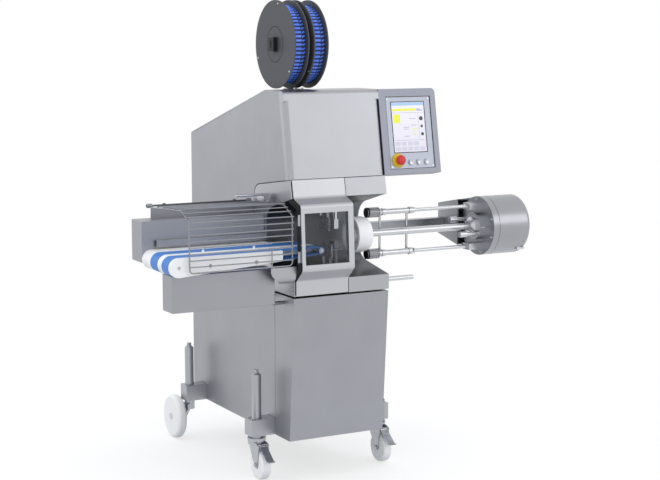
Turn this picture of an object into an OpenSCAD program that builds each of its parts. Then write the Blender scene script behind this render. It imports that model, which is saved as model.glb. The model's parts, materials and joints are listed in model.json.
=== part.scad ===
// Automatic double clipper for sausages: a sheet-steel cabinet with an open throat,
// a discharge conveyor on the left and a filling horn with its brake drive on the right.
// X runs along the product from the conveyor to the horn, Y runs from the operator to the
// rear, Z is up. The origin lies on the floor, in the middle of the machine's outline.

/* [Cabinet] */
// Outer width of the cabinet
cabinet_w = 444; // [420:1:480]
// Distance from the front plane to the rear face
cabinet_rear = 1035; // [1000:1:1080]
// Height of the roof's flat part
roof_z = 1625; // [1600:1:1660]
// Distance from the front plane to the bend in the roof
roof_bend_y = 263; // [250:1:300]
// Height of the roof at the rear face
roof_rear_z = 1406; // [1380:1:1440]
// Height of the gap between the door and the throat section
waist_z = 795; // [785:1:800]
// Thickness of the steel sheet
sheet = 3; // [2:0.5:4]
// Width of the seam between neighbouring covers
seam = 3; // [2:0.5:5]

/* [Head] */
// Height of the head's lower edge
head_z = 1270; // [1262:1:1285]
// Distance of the head's lower edge behind the front plane
head_front_y = 37; // [30:1:45]
// Backward lean of the head's face in degrees
head_lean = 9.9; // [8:0.1:12]
// Bend radius along the edges of the head's face
head_round = 20; // [10:1:25]
// Depth of the head cover's side returns
head_return = 40; // [30:1:60]

/* [Throat] */
// Height of the throat's floor at the front
throat_floor_z = 858; // [850:1:866]
// Height of the throat's roof at the front
throat_roof_z = 1194; // [1186:1:1200]
// Distance of the throat's roof edge behind the front plane
throat_roof_y = 22; // [18:1:26]
// Distance of the throat's rear wall behind the front plane
throat_wall_y = 263; // [250:1:280]
// Rise of the throat's floor in degrees
throat_floor_rise = 10; // [6:0.5:12]
// Fall of the throat's roof in degrees
throat_roof_fall = 15; // [10:0.5:17]
// Radius of the throat's rear corners
throat_round = 90; // [60:1:95]
// Distance of the throat covers' rear edge behind the front plane
cover_rear_y = 370; // [340:1:400]
// Fall of the throat covers' upper edge in degrees
cover_fall = 7.8; // [5:0.1:10]
// Radius of the throat covers' upper rear corner
cover_round = 50; // [30:1:70]

/* [Door] */
// Distance of the door's upper edge behind the front plane
door_top_y = 4; // [2:1:10]
// Distance of the door's lower edge behind the front plane
door_bottom_y = 48; // [30:1:54]
// Gap above the door
door_gap = 8; // [5:1:12]
// Distance of the left return's rear edge behind the front plane
door_return_y = 180; // [150:1:181]
// Length of the handle peg
peg_l = 50; // [30:1:60]
// Diameter of the handle peg
peg_d = 15; // [10:1:20]

/* [Guard hood] */
// Right end of the hood, measured from the cabinet's middle
hood_right = 27; // [20:1:40]
// Forward reach of the hood's face at its lower edge
hood_reach_low = 56; // [50:1:60]
// Forward reach of the hood's face at its upper edge
hood_reach_high = 40; // [36:1:48]
// Height of the face's lower edge
hood_face_low = 907; // [900:1:915]
// Height of the face's upper edge
hood_face_high = 1172; // [1165:1:1178]
// Bend radius of the hood
hood_round = 18; // [8:1:24]
// Width of the window opening
window_w = 200; // [160:1:205]
// Height of the window opening
window_h = 209; // [180:1:215]
// Height of the window's lower edge
window_low = 930; // [922:1:940]
// Thickness of the window
window_t = 5; // [4:0.5:6]

/* [Control panel] */
// Width of the panel housing
panel_w = 278; // [260:1:320]
// Depth of the panel housing
panel_depth = 80; // [60:1:120]
// Width of the panel's recess
recess_w = 220; // [215:1:240]
// Height of the panel's recess
recess_h = 306; // [300:1:315]
// Depth of the panel's recess
recess_t = 6; // [4:0.5:8]
// Width of the screen
screen_w = 160; // [140:1:180]
// Height of the screen
screen_h = 211; // [190:1:220]
// Diameter of the emergency stop's head
stop_d = 42; // [36:1:46]
// Diameter of the emergency stop's collar
collar_d = 60; // [54:1:64]
// Diameter of a push button
button_d = 19; // [14:0.5:22]
// Pitch of the push buttons
button_pitch = 39; // [34:0.5:44]

/* [Clip reels] */
// Diameter of a reel
reel_d = 362; // [330:1:366]
// Gap between the reels and the roof
reel_clear = 5; // [3:0.5:20]
// Distance of the reel axle behind the front plane
reel_y = 235; // [225:1:240]
// Width of a reel over both discs
reel_w = 66; // [56:1:70]
// Thickness of a reel disc
reel_disc_t = 5; // [4:0.5:8]
// Diameter of the wound clip strip
winding_d = 320; // [250:1:340]
// Diameter of the reel axle
reel_axle_d = 24; // [18:1:30]
// Position of the reel post's middle across the cabinet
reel_post_x = -112; // [-120:1:-100]
// Thickness of the reel post
reel_post_t = 10; // [8:1:12]

/* [Conveyor] */
// Distance of the conveyor's free end from the cabinet's middle
conveyor_end = 772; // [720:1:820]
// Height of the belt's upper run
belt_z = 992; // [985:1:998]
// Outer radius of the belt at the free end
nose_r = 38.5; // [34:0.5:40]
// Outer radius of the belt at the throat end
inner_r = 14; // [12:0.5:18]
// Distance of the throat-end roller from the cabinet's middle
inner_roller = 100; // [90:1:120]
// Thickness of a belt
belt_t = 3; // [2:0.5:4]
// Width of the front belt
front_belt_w = 70; // [60:1:74]
// Width of the rear belt
rear_belt_w = 75; // [60:1:80]
// Width of the rail between the belts
middle_rail_w = 41; // [36:1:46]
// Width of the front rail
front_rail_w = 15; // [12:1:18]
// Distance of the front rail's inner end from the cabinet's middle
front_rail_end = 282; // [276:1:320]
// Diameter of the roller shafts
roller_shaft_d = 15; // [12:1:17]
// Width of the rear box
trough_w = 109; // [100:1:112]
// Height of the rear box's lower edge
trough_low = 939; // [930:1:945]
// Height of the rear box's upper edge
trough_high = 1106; // [1090:1:1112]
// Distance of the rear box's front face behind the front plane
trough_y = 275; // [270:1:280]
// Distance of the drive box's left end inside the conveyor's free end
drive_box_inset = 31; // [20:1:60]
// Length of the drive box
drive_box_l = 449; // [400:1:460]
// Distance of the drive box behind the front plane
drive_box_y = 40; // [30:1:50]
// Width of the drive box
drive_box_w = 98; // [80:1:110]
// Height of the drive box's lower edge
drive_box_z = 765; // [755:1:775]
// Height of the drive box
drive_box_h = 148; // [140:1:150]
// Height of the guide angle's lower edge above the belts
guide_lift = 8; // [5:1:12]
// Height of the guide angle
guide_h = 29; // [20:1:36]
// Width of the guide angle
guide_w = 16; // [12:1:20]

/* [Wire guard] */
// Distance of the guard's left end from the cabinet's middle
cage_left = 695; // [670:1:700]
// Distance of the guard's right end from the cabinet's middle
cage_right = 247; // [245:1:260]
// Forward reach of the guard's face
cage_reach = 35; // [33:1:40]
// Height of the guard's lowest wire
cage_low = 931; // [925:1:936]
// Height of the guard's upper front corner
cage_corner_z = 1136; // [1120:1:1145]
// Height of the guard's top behind the chamfer
cage_top_z = 1175; // [1165:1:1180]
// Distance of the chamfer's rear end behind the front plane
cage_chamfer_y = 42; // [35:1:50]
// Height of the guard's hinge
cage_hinge_z = 1156; // [1153:1:1160]
// Diameter of a wire
wire_d = 5; // [4:0.5:6]
// Diameter of a hoop
hoop_d = 6; // [5:0.5:8]
// Wires on the guard's face
face_wires = 9; // [7:1:11]

/* [Horn] */
// Height of the product axis above the floor
axis_z = 1018; // [1014:1:1024]
// Distance of the product axis behind the front plane
axis_y = 110; // [106:1:116]
// Outer diameter of the horn
horn_d = 30; // [24:1:34]
// Wall of the horn
horn_wall = 2; // [1.5:0.5:3]
// Outer diameter of the casing brake
brake_d = 152; // [130:1:154]
// Distance of the casing brake's left face inside the cabinet's right side
brake_inset = 122; // [112:1:124]
// Length of the casing brake
brake_l = 70; // [60:1:72]
// Distance of a guide rod from the product axis
rod_offset = 88; // [84:1:92]
// Diameter of a guide rod
rod_d = 16; // [12:1:18]
// Outer diameter of a sleeve
sleeve_d = 24; // [22:1:28]
// Distance of the sleeves' left end outside the cabinet's right side
sleeve_out = 10; // [6:1:18]
// Length of a sleeve
sleeve_l = 180; // [160:1:200]
// Diameter of a fluted knob
knob_d = 43; // [36:1:46]
// Length of a fluted knob
knob_l = 59; // [45:1:60]
// Flutes round a knob
knob_flutes = 12; // [8:1:16]

/* [Brake drive] */
// Distance of the drum's left face outside the cabinet's right side
drum_out = 517; // [508:1:538]
// Length of the drum
drum_l = 198; // [180:1:220]
// Diameter of the drum
drum_d = 258; // [240:1:262]
// Wall of the drum
drum_wall = 6; // [4:0.5:8]
// Radius of the drum's right edge
drum_round = 22; // [12:1:30]
// Distance of the rear face of the tail behind the front plane
tail_y = 400; // [395:1:420]
// Height of the tail at its rear face
tail_h = 138; // [130:1:150]
// Distance of the support beam behind the front plane
support_y = 345; // [338:1:350]
// Width of the support beam
support_w = 40; // [30:1:45]
// Height of the support beam
support_h = 45; // [35:1:50]
// Distance of the support beam's lower face below the product axis
support_drop = 33; // [28:1:40]
// Bore of the filling inlet
inlet_bore = 50; // [40:1:54]
// Outer diameter of the inlet union
inlet_d = 70; // [64:1:76]
// Length of the inlet union
inlet_l = 45; // [35:1:55]

/* [Undercarriage] */
// Height of the cabinet's lower edge
cabinet_bottom = 181; // [181:1:184]
// Height of an outrigger beam
beam_h = 72; // [68:1:74]
// Depth of an outrigger beam
beam_w = 68; // [64:1:68]
// Front face of the front beam behind the front plane
front_beam_y = 184; // [184:1:190]
// Front face of the rear beam behind the front plane
rear_beam_y = 893; // [880:1:900]
// Half length of the front beam
front_beam_x = 332; // [325:1:350]
// Half length of the rear beam
rear_beam_x = 322; // [318:1:323]
// Distance of a leg from the cabinet's middle
leg_x = 292; // [288:1:298]
// Diameter of a leg post
post_d = 30; // [24:1:32]
// Outer diameter of a spindle tube
tube_d = 40; // [38:1:44]
// Height of the front spindle tubes' upper end
front_tube_top = 438; // [430:1:460]
// Height of the rear spindle tubes' upper end
rear_tube_top = 425; // [415:1:450]
// Diameter of a caster wheel
caster_d = 125; // [120:1:126]
// Width of a caster wheel
caster_w = 40; // [34:1:40]
// Trail of a caster
caster_trail = 40; // [36:1:44]
// Diameter of a rear wheel
rear_wheel_d = 200; // [190:1:202]
// Width of a rear wheel
rear_wheel_w = 42; // [36:1:46]
// Distance of a rear wheel's axle behind its leg
rear_trail = 47; // [44:1:55]

/* [Clip tools] */
// Travel of a displacer
displacer_travel = 35; // [20:1:38]
// Thickness of a displacer
displacer_t = 6; // [4:0.5:7]
// Width of a displacer
displacer_w = 90; // [80:1:100]
// Height of a displacer
displacer_h = 60; // [50:1:64]
// Diameter of a tool rod
tool_rod_d = 10; // [8:1:12]
// Distance of the clip die from the cabinet's middle
die_x = 22; // [18:1:26]

/* [Main drive] */
// Distance of the cam shaft behind the front plane
cam_y = 330; // [320:1:335]
// Height of the cam shaft
cam_z = 500; // [480:1:520]
// Diameter of the cam shaft
cam_shaft_d = 30; // [24:1:36]
// Length of the cam shaft
cam_shaft_l = 330; // [320:1:350]
// Diameter of the cam
cam_d = 210; // [180:1:220]
// Width of the cam
cam_w = 44; // [30:1:60]
// Distance of a crank pin from the cam shaft's axis
crank_r = 60; // [45:1:75]
// Diameter of a crank pin
crank_d = 28; // [20:1:36]
// Length of a crank pin
crank_l = 38; // [25:1:50]
// Distance of a bearing pedestal from the cabinet's middle
pedestal_x = 145; // [130:1:150]
// Thickness of a bearing pedestal
pedestal_t = 20; // [14:1:26]
// Length of a bearing pedestal's foot
pedestal_l = 120; // [100:1:140]
// Diameter of a bearing pedestal's head
pedestal_d = 64; // [56:1:72]
// Distance of the gear case behind the front plane
gear_y = 480; // [470:1:500]
// Width of the gear case
gear_w = 180; // [150:1:200]
// Length of the gear case
gear_l = 140; // [120:1:150]
// Height of the gear case
gear_h = 165; // [160:1:200]
// Height of the motor's axis above the floor pan
motor_lift = 92; // [88:1:100]
// Diameter of the motor
motor_d = 160; // [130:1:170]
// Length of the motor
motor_l = 220; // [180:1:240]
// Length of the motor's fan cowl
cowl_l = 60; // [45:1:75]
// Thickness of the motor's fan cowl over the motor
cowl_t = 6; // [4:1:8]

/* [Fits] */
// Radial clearance of a running fit
run_clear = 0.05; // [0.02:0.01:0.1]
// Gap between faces that move past each other
face_gap = 0.5; // [0.3:0.1:1]
// Gap between sheets that lie edge to edge
sheet_gap = 0.2; // [0.1:0.1:0.5]

/* [Hidden] */
$fn = 64;

half_w = cabinet_w / 2;
brake_x = half_w - brake_inset;
sleeve_x = half_w + sleeve_out;
drum_x = half_w + drum_out;
inner_w = half_w - sheet;
union_end = drum_x + drum_l + inlet_l;
rear_leg_y = rear_beam_y + beam_w / 2;
rear_axle_y = rear_leg_y + rear_trail;
front_leg_y = front_beam_y + beam_w / 2;
beam_top = cabinet_bottom + beam_h;
reel_z = roof_z + reel_clear + reel_d / 2;
origin_x = (union_end - conveyor_end) / 2;
origin_y = (rear_axle_y + rear_wheel_d / 2 - hood_reach_low) / 2;

// Corners of the bent sheets, as distances behind the front plane and heights
roof_front_y = head_front_y + (roof_z - head_z) * tan(head_lean);
roof_line = [[head_front_y, head_z], [roof_front_y, roof_z], [roof_bend_y, roof_z],
    [cabinet_rear, roof_rear_z]];
throat_roof_corner = [throat_wall_y,
    throat_roof_z - (throat_wall_y - throat_roof_y) * tan(throat_roof_fall)];
throat_floor_corner = [throat_wall_y, throat_floor_z + throat_wall_y * tan(throat_floor_rise)];
throat_line = [[throat_roof_y, throat_roof_z], throat_roof_corner, throat_floor_corner,
    [0, throat_floor_z]];
cover_corner = [cover_rear_y,
    head_z - seam - (cover_rear_y - head_front_y) * tan(cover_fall)];
hood_line = [[head_front_y, head_z - seam], [throat_roof_y, throat_roof_z],
    [-hood_reach_high, hood_face_high], [-hood_reach_low, hood_face_low], [0, throat_floor_z],
    [0, waist_z + 2]];
band_setback = 6;
upper_band = [hood_line[0], hood_line[1]];
hood_path = rounded(hood_line, hood_round);
cheek_path = rounded([for (i = [1 : 4]) hood_line[i]], hood_round);

// Conveyor loop: both rollers share the belt's flat upper run
nose_x = -(conveyor_end - nose_r);
inner_x = -inner_roller;
nose_z = belt_z - nose_r;
inner_z = belt_z - inner_r;
loop_tilt = atan2(inner_z - nose_z, inner_x - nose_x);
rear_belt_y = front_belt_w + middle_rail_w;
rear_rail_y = rear_belt_y + rear_belt_w;
tie_rod_d = 16;
tie_rod_x = [-600, -400];

cage_hinge_y = trough_y + trough_w - 4;
cage_pin_d = 8;
back_plate_top = cage_hinge_z - 10;
cage_line = [[-cage_reach, cage_low], [-cage_reach, cage_corner_z], [cage_chamfer_y, cage_top_z],
    [cage_hinge_y, cage_hinge_z]];
top_pitch = 0.18;
hoop_line = shifted(cage_line, -(hoop_d + wire_d) / 2 - 0.02);

door_pin_x = half_w + 10;
door_pin_y = 62;
door_pin_d = 8;
door_barrel_d = 16;
door_barrels = [[215, 298], [680, 763]];
door_top_z = waist_z - door_gap;
hood_pin_x = -half_w + 3;
hood_pin_y = -hood_reach_high + 6;
hood_pin_d = 5;
hood_barrel_d = 10;
hood_barrels = [[940, 985], [1090, 1135]];
hood_left = -half_w + 8;

recess_x = half_w + 32;
recess_z = 21.5;
screen_x = recess_x + 27;
screen_z = 92;
stop_x = half_w + 74;
stop_z = 58;
button_z = 48;
button_x = half_w + 134;
button_travel = 2;
stop_travel = 6;

brake_bore = 44;
rod_left = sleeve_x + 10;
spigot_d = 20;
knob_cap = 5;
spigot_x = sleeve_x - knob_l + knob_cap + 2;
brake_wall = 12;
clamp_x = drum_x - 27;

die_top = axis_z - 18;
displacer_up_x = -30;
displacer_low_x = displacer_up_x + displacer_t + 6;

leg_stop = cabinet_bottom - face_gap;
caster_axle_d = 12;
caster_axle_y = front_leg_y - caster_trail;
caster_axle_z = caster_d / 2;
king_pin_d = 16;
pedal_pin_d = 6;
pedal_pin_y = front_leg_y - 58;
pedal_pin_z = 141;
rear_axle_d = 20;
rear_axle_z = rear_wheel_d / 2;
rear_plate_x = rear_beam_x - 16;
rear_plate_t = 12;
rear_wheel_x = rear_beam_x + 2;

// Unit vector along v
function unit(v) = v / norm(v);
// Normal on the left of the step from a to b
function side(a, b) = let (d = unit(b - a)) [-d[1], d[0]];
// Corner i of a line moved sideways by t
function moved(p, i, t) =
    let (last = len(p) - 1)
    i == 0 ? p[0] + t * side(p[0], p[1])
    : i == last ? p[last] + t * side(p[last - 1], p[last])
    : let (m = side(p[i - 1], p[i]), n = side(p[i], p[i + 1]))
        p[i] + t * (m + n) / (1 + m * n);
// A line moved sideways by t
function shifted(p, t) = [for (i = [0 : len(p) - 1]) moved(p, i, t)];
// A line in the other direction
function reversed(p) = [for (i = [len(p) - 1 : -1 : 0]) p[i]];
// Closed outline of a sheet that follows a line
function strip(p, t) = concat(p, reversed(shifted(p, t)));
// Points of an arc of radius r in corner b between a and c
function corner_arc(a, b, c, r, steps = 6) =
    let (u = unit(a - b), w = unit(c - b), half = acos(u * w) / 2,
        centre = b + unit(u + w) * r / sin(half),
        first = b + u * r / tan(half) - centre,
        turn = (180 - 2 * half) * sign(u[1] * w[0] - u[0] * w[1]))
    [for (i = [0 : steps]) let (s = turn * i / steps)
        centre + [first[0] * cos(s) - first[1] * sin(s), first[0] * sin(s) + first[1] * cos(s)]];
// A line with its inner corners rounded
function rounded(p, r) = [for (i = [0 : len(p) - 1])
    each (i == 0 || i == len(p) - 1) ? [p[i]] : corner_arc(p[i - 1], p[i], p[i + 1], r)];
// Height of the throat's floor
function floor_at(y) = throat_floor_z + y * tan(throat_floor_rise);
// Distance of the hood's face from the front plane
function hood_face_y(z) = -hood_reach_low
    + (hood_reach_low - hood_reach_high) * (z - hood_face_low) / (hood_face_high - hood_face_low);

// Everything is drawn from the cabinet's middle and the front plane, then moved to the origin
module place() { translate([-origin_x, -origin_y, 0]) children(); }
// Outline in Y and Z, drawn out along X
module along_x(x0, x1) { translate([x0, 0, 0]) rotate([90, 0, 90]) linear_extrude(x1 - x0) children(); }
// Outline in X and Z, drawn out along Y
module along_y(y0, y1) { translate([0, y1, 0]) rotate([90, 0, 0]) linear_extrude(y1 - y0) children(); }
// Block between two corners
module block(low, high) { translate(low) cube(high - low); }
// Round bars along each axis
module bar_x(x0, x1, y, z, d) { translate([x0, y, z]) rotate([0, 90, 0]) cylinder(h = x1 - x0, d = d); }
module bar_y(y0, y1, x, z, d) { translate([x, y1, z]) rotate([90, 0, 0]) cylinder(h = y1 - y0, d = d); }
module bar_z(z0, z1, x, y, d) { translate([x, y, z0]) cylinder(h = z1 - z0, d = d); }
// Round bar between two points in a plane of constant X, kept off both ends by trim
module hoop_bar(x, a, b, d, trim) {
    run = norm(b - a);
    translate([x, a[0], a[1]]) rotate([-atan2(b[0] - a[0], b[1] - a[1]), 0, 0])
        translate([0, 0, trim]) cylinder(h = run - 2 * trim, d = d);
}
// Frame of the head's face: x across, y into the machine, z up along the face
module face_frame() { translate([0, head_front_y, head_z]) rotate([-head_lean, 0, 0]) children(); }
// Shape turned about the product axis, drawn as radius and distance along X
module turned(x) { translate([x, axis_y, axis_z]) rotate([0, 90, 0]) rotate_extrude() children(); }
// Mirror copies on the left and right
module both_sides() { for (s = [-1, 1]) scale_side(s) children(); }
module scale_side(s) { if (s < 0) mirror([1, 0, 0]) children(); else children(); }
// Rounded outline of a wheel's half section
module wheel_section(d, w, bore, r) {
    difference() {
        union() {
            translate([0, -w / 2]) square([d / 2 - r, w]);
            translate([0, -w / 2 + r]) square([d / 2, w - 2 * r]);
            for (s = [-1, 1]) translate([d / 2 - r, s * (w / 2 - r)]) circle(r);
        }
        translate([-1, -w]) square([bore / 2 + 1, 2 * w]);
    }
}

// Base: two outrigger beams, four spindle tubes with hexagon heads, and the floor pan
module beam(y, half_l, tube_top) {
    wall = 4;
    head_h = 22;
    head_d = 22;
    cone_h = 9;
    cap_t = 6;
    difference() {
        union() {
            block([-half_l, y, cabinet_bottom], [half_l, y + beam_w, beam_top]);
            for (s = [-1, 1]) bar_z(beam_top, tube_top, s * leg_x, y + beam_w / 2, tube_d);
        }
        block([-half_l + wall, y + wall, cabinet_bottom + wall],
            [half_l - wall, y + beam_w - wall, beam_top - wall]);
        for (s = [-1, 1])
            bar_z(cabinet_bottom - 1, tube_top - cap_t, s * leg_x, y + beam_w / 2, post_d + 2 * run_clear);
    }
    for (s = [-1, 1]) translate([s * leg_x, y + beam_w / 2, tube_top]) {
        cylinder(h = cone_h, d1 = tube_d, d2 = head_d + 2);
        cylinder(h = head_h, d = head_d, $fn = 6);
    }
}
module base_frame() color("silver") place() {
    beam(front_beam_y, front_beam_x, front_tube_top);
    beam(rear_beam_y, rear_beam_x, rear_tube_top);
    block([-inner_w, front_beam_y, beam_top], [inner_w, cabinet_rear - sheet, beam_top + sheet]);
}

// Side panels: flat plates with the throat section and the beams cut out
module beam_cut(y) { translate([y - face_gap, 0]) square([beam_w + 2 * face_gap, beam_top + face_gap]); }
module cover_zone(grow) {
    edge = [[cover_rear_y + grow, waist_z - grow], cover_corner + [grow, grow],
        [head_front_y - sheet, head_z - seam + grow]];
    polygon(concat([[-200, waist_z - grow]], rounded(edge, cover_round), [[-200, head_z]]));
}
module side_panel_outline(front) {
    head_edge = shifted([roof_line[0], roof_line[1]], -head_return - sheet_gap);
    under = shifted(roof_line, -sheet - 2 * sheet_gap);
    edge_top = [head_edge[0][0] + (under[1][1] - head_edge[0][1]) * tan(head_lean), under[1][1]];
    difference() {
        polygon([[front, cabinet_bottom], [cabinet_rear, cabinet_bottom],
            [cabinet_rear, under[3][1] - 1], under[2], edge_top,
            head_edge[0], [head_edge[0][0], waist_z], [front, waist_z]]);
        cover_zone(seam);
        beam_cut(front_beam_y);
        beam_cut(rear_beam_y);
    }
}
module left_side_panel() color("silver") place() along_x(-half_w, -inner_w)
    difference() {
        side_panel_outline(door_return_y + seam);
        square([front_beam_y + 1, beam_top + face_gap]);
    }
module right_side_panel() color("silver") place() along_x(inner_w, half_w)
    side_panel_outline(door_pin_y + 4);
module rear_panel() color("silver") place()
    block([-inner_w, cabinet_rear - sheet, cabinet_bottom], [inner_w, cabinet_rear, roof_rear_z - sheet - 1]);

// Head: a leaning face with rounded upright edges, bent over into the roof
module head_cover() color("silver") place() {
    face_h = (roof_z - head_z) / cos(head_lean);
    bend = 2 * head_round;
    face_line = [[-half_w, head_return], [-half_w, 0], [half_w, 0], [half_w, head_return]];
    face_frame() linear_extrude(face_h - bend + 1) polygon(strip(rounded(face_line, head_round), sheet));
    bend_low = roof_line[1] - unit(roof_line[1] - roof_line[0]) * bend;
    roof = rounded([bend_low, roof_line[1], roof_line[2], roof_line[3]], head_round);
    along_x(-half_w, half_w) polygon(strip(roof, -sheet));
}

// Throat section: side covers and the bent liner with its front bands
module throat_void() polygon(concat([[-200, throat_roof_z + 60]], rounded(throat_line, throat_round),
    [[-200, throat_floor_z - 36]]));
module clip_covers() color("gainsboro") place() both_sides() along_x(inner_w, half_w)
    difference() {
        band = shifted(upper_band, sheet + sheet_gap);
        cover_zone(0);
        throat_void();
        polygon([[-300, 0], [sheet + sheet_gap, 0], [sheet + sheet_gap, throat_floor_z], band[1], band[0],
            [band[0][0], 2 * head_z], [-300, 2 * head_z]]);
    }
module tool_rods(x, z0, z1, d) {
    for (s = [-1, 1]) bar_z(z0, z1, x, axis_y + s * displacer_w / 3, d);
}
module throat_liner() color("gray") place() {
    setback = band_setback + sheet;
    hole_d = tool_rod_d + 2 * face_gap;
    difference() {
        along_x(-inner_w, inner_w) polygon(strip(rounded(throat_line, throat_round), sheet));
        along_x(-half_w, hood_right + seam) polygon([[-200, 0], [setback, 0], [setback, throat_floor_z + 50],
            [throat_roof_y + setback, throat_roof_z - 50], [throat_roof_y + setback, 2000], [-200, 2000]]);
        tool_rods(displacer_up_x + displacer_t / 2, axis_z, head_z, hole_d);
        tool_rods(displacer_low_x + displacer_t / 2, waist_z, axis_z, hole_d);
        bar_z(axis_z, head_z, die_x, axis_y, 2 * hole_d);
    }
    along_x(hood_right + seam, half_w) polygon(strip(upper_band, sheet));
    along_x(-inner_w, hood_right + seam)
        polygon(strip([for (p = upper_band) p + [setback, 0]], sheet));
    block([hood_right + seam, 0, waist_z], [half_w, sheet, throat_floor_z]);
    block([-inner_w, setback, waist_z], [hood_right + seam, setback + sheet, floor_at(setback) - sheet]);
}

// Fixed hinge pins of the door and of the wire guard, with their lugs
module hinge_pins() color("dimgray") place() {
    lug = 8;
    for (b = door_barrels) {
        bar_z(b[0] - lug - 2, b[1] + lug + 2, door_pin_x, door_pin_y, door_pin_d);
        for (z = [b[0] - lug - 2, b[1] + 2])
            block([half_w, door_pin_y - 4, z], [door_pin_x + 6, door_pin_y + 18, z + lug]);
    }
    bar_x(-cage_left - 6, -cage_right + 9, cage_hinge_y, cage_hinge_z, cage_pin_d);
    for (x = [-cage_left + 60, -cage_right - 70])
        block([x, cage_hinge_y - 5, back_plate_top], [x + 10, cage_hinge_y + 4, cage_hinge_z + 8]);
}

// Black frame along the hood's left edge, which carries the hood's two hinge pins
module hood_frame() color("black") place() {
    frame_w = 20;
    inset = sheet + 2;
    frame_t = 6;
    end_run = 30;
    upper_end = hood_line[1] + unit(hood_line[1] - hood_line[2]) * end_run;
    lower_end = hood_line[4] + unit(hood_line[4] - hood_line[3]) * end_run;
    line = shifted([upper_end, hood_line[2], hood_line[3], lower_end], inset);
    along_x(-half_w, -half_w + frame_t) intersection() {
        difference() {
            polygon(strip(line, frame_w));
            for (b = hood_barrels) translate([-2 * hood_reach_low, b[0] - 2])
                square([2 * hood_reach_low, b[1] - b[0] + 4]);
        }
        throat_void();
    }
    for (b = hood_barrels)
        bar_z(b[0] - 6, b[1] + 6, hood_pin_x, hood_pin_y, hood_pin_d);
}

// Control panel: leaning housing with a recessed fascia, screen and operating elements
module panel_housing() color("silver") place() face_frame() {
    face_h = (roof_z - head_z) / cos(head_lean);
    difference() {
        translate([half_w, panel_depth, 0]) rotate([90, 0, 0]) linear_extrude(panel_depth) union() {
            square([panel_w - head_round, face_h]);
            square([panel_w, face_h - head_round]);
            translate([panel_w - head_round, face_h - head_round]) circle(head_round);
        }
        block([half_w + sheet, recess_t + 2 * sheet, sheet],
            [half_w + panel_w - head_round, panel_depth - sheet, face_h - head_round]);
        block([recess_x, -1, recess_z], [recess_x + recess_w, recess_t, recess_z + recess_h]);
        for (i = [0 : 2]) bar_y(-1, panel_depth / 2, button_x + i * button_pitch, button_z, button_d - 5);
        bar_y(-1, panel_depth / 2, stop_x, stop_z, stop_d / 2 + 2 * face_gap);
        bar_x(half_w - 1, half_w + sheet + 1, panel_depth / 2, face_h / 2, 30);
    }
}
module panel_fascia() color("lightgray") place() face_frame() {
    plate = 3;
    difference() {
        block([recess_x, recess_t - plate, recess_z],
            [recess_x + recess_w, recess_t, recess_z + recess_h]);
        block([screen_x, 0, screen_z], [screen_x + screen_w, recess_t + 1, screen_z + screen_h]);
        for (i = [0 : 2]) bar_y(0, recess_t + 1, button_x + i * button_pitch, button_z, button_d - 5);
        bar_y(0, recess_t + 1, stop_x, stop_z, stop_d / 2 + 2 * face_gap);
    }
    for (i = [0 : 2]) difference() {
        bar_y(0, recess_t - plate, button_x + i * button_pitch, button_z, button_d + 7);
        bar_y(-1, recess_t, button_x + i * button_pitch, button_z, button_d + 2 * face_gap);
    }
}
module touch_screen() color("gold") place() face_frame()
    block([screen_x, recess_t - 2.5, screen_z], [screen_x + screen_w, recess_t, screen_z + screen_h]);
module estop_collar() color("gold") place() face_frame() difference() {
    bar_y(-4, recess_t - 3, stop_x, stop_z, collar_d);
    bar_y(-5, recess_t, stop_x, stop_z, stop_d / 2 + 2 * face_gap);
}
module estop_button() color("red") place() face_frame() translate([stop_x, 0, stop_z]) rotate([90, 0, 0]) {
    head_base = 4 + stop_travel + face_gap;
    rotate_extrude() difference() {
        union() {
            translate([0, head_base]) square([stop_d / 2 - 4, 18]);
            translate([0, head_base + 4]) square([stop_d / 2, 10]);
            for (z = [4, 14]) translate([stop_d / 2 - 4, head_base + z]) circle(4);
        }
        translate([-50, 0]) square([50, 60]);
    }
    translate([0, 0, -panel_depth / 4]) cylinder(h = panel_depth / 4 + head_base + 1, d = stop_d / 2);
}
module push_button(i) color("silver") place() face_frame()
    translate([button_x + i * button_pitch, 0, button_z]) rotate([90, 0, 0]) {
        cap = 4;
        low = button_travel + face_gap - recess_t + 3;
        translate([0, 0, low]) cylinder(h = cap, d = button_d);
        translate([0, 0, -panel_depth / 4]) cylinder(h = panel_depth / 4 + low + 1, d = button_d - 6);
    }
module start_button() push_button(0);
module stop_button() push_button(1);
module reset_button() push_button(2);

// Clip reels: post, axle and end block, and two reels with their windings
reel_gap = 6;
module reel_stand() color("dimgray") place() {
    axle_half = reel_w + reel_gap + reel_post_t / 2;
    post_half = 20;
    along_x(reel_post_x - reel_post_t / 2, reel_post_x + reel_post_t / 2)
        polygon([[reel_y - post_half, reel_z - 30], [reel_y - post_half - 15, roof_z], [roof_bend_y, roof_z],
            [reel_y + post_half, reel_z - 30], [reel_y + post_half, reel_z + 20], [reel_y - post_half, reel_z + 20]]);
    bar_x(reel_post_x - axle_half - 2, reel_post_x + axle_half + 2, reel_y, reel_z, reel_axle_d);
    block([reel_post_x - axle_half - 20, reel_y - 24, reel_z - 29],
        [reel_post_x - axle_half - 2, reel_y + 24, reel_z + 29]);
    bar_x(reel_post_x + axle_half + 2, reel_post_x + axle_half + 14, reel_y, reel_z, reel_axle_d + 20);
    block([reel_post_x - 25, reel_y - 70, roof_z], [reel_post_x + 25, roof_bend_y, roof_z + 4]);
}
function reel_start(s) = s < 0 ? reel_post_x - reel_post_t / 2 - reel_gap - reel_w
    : reel_post_x + reel_post_t / 2 + reel_gap;
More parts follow.
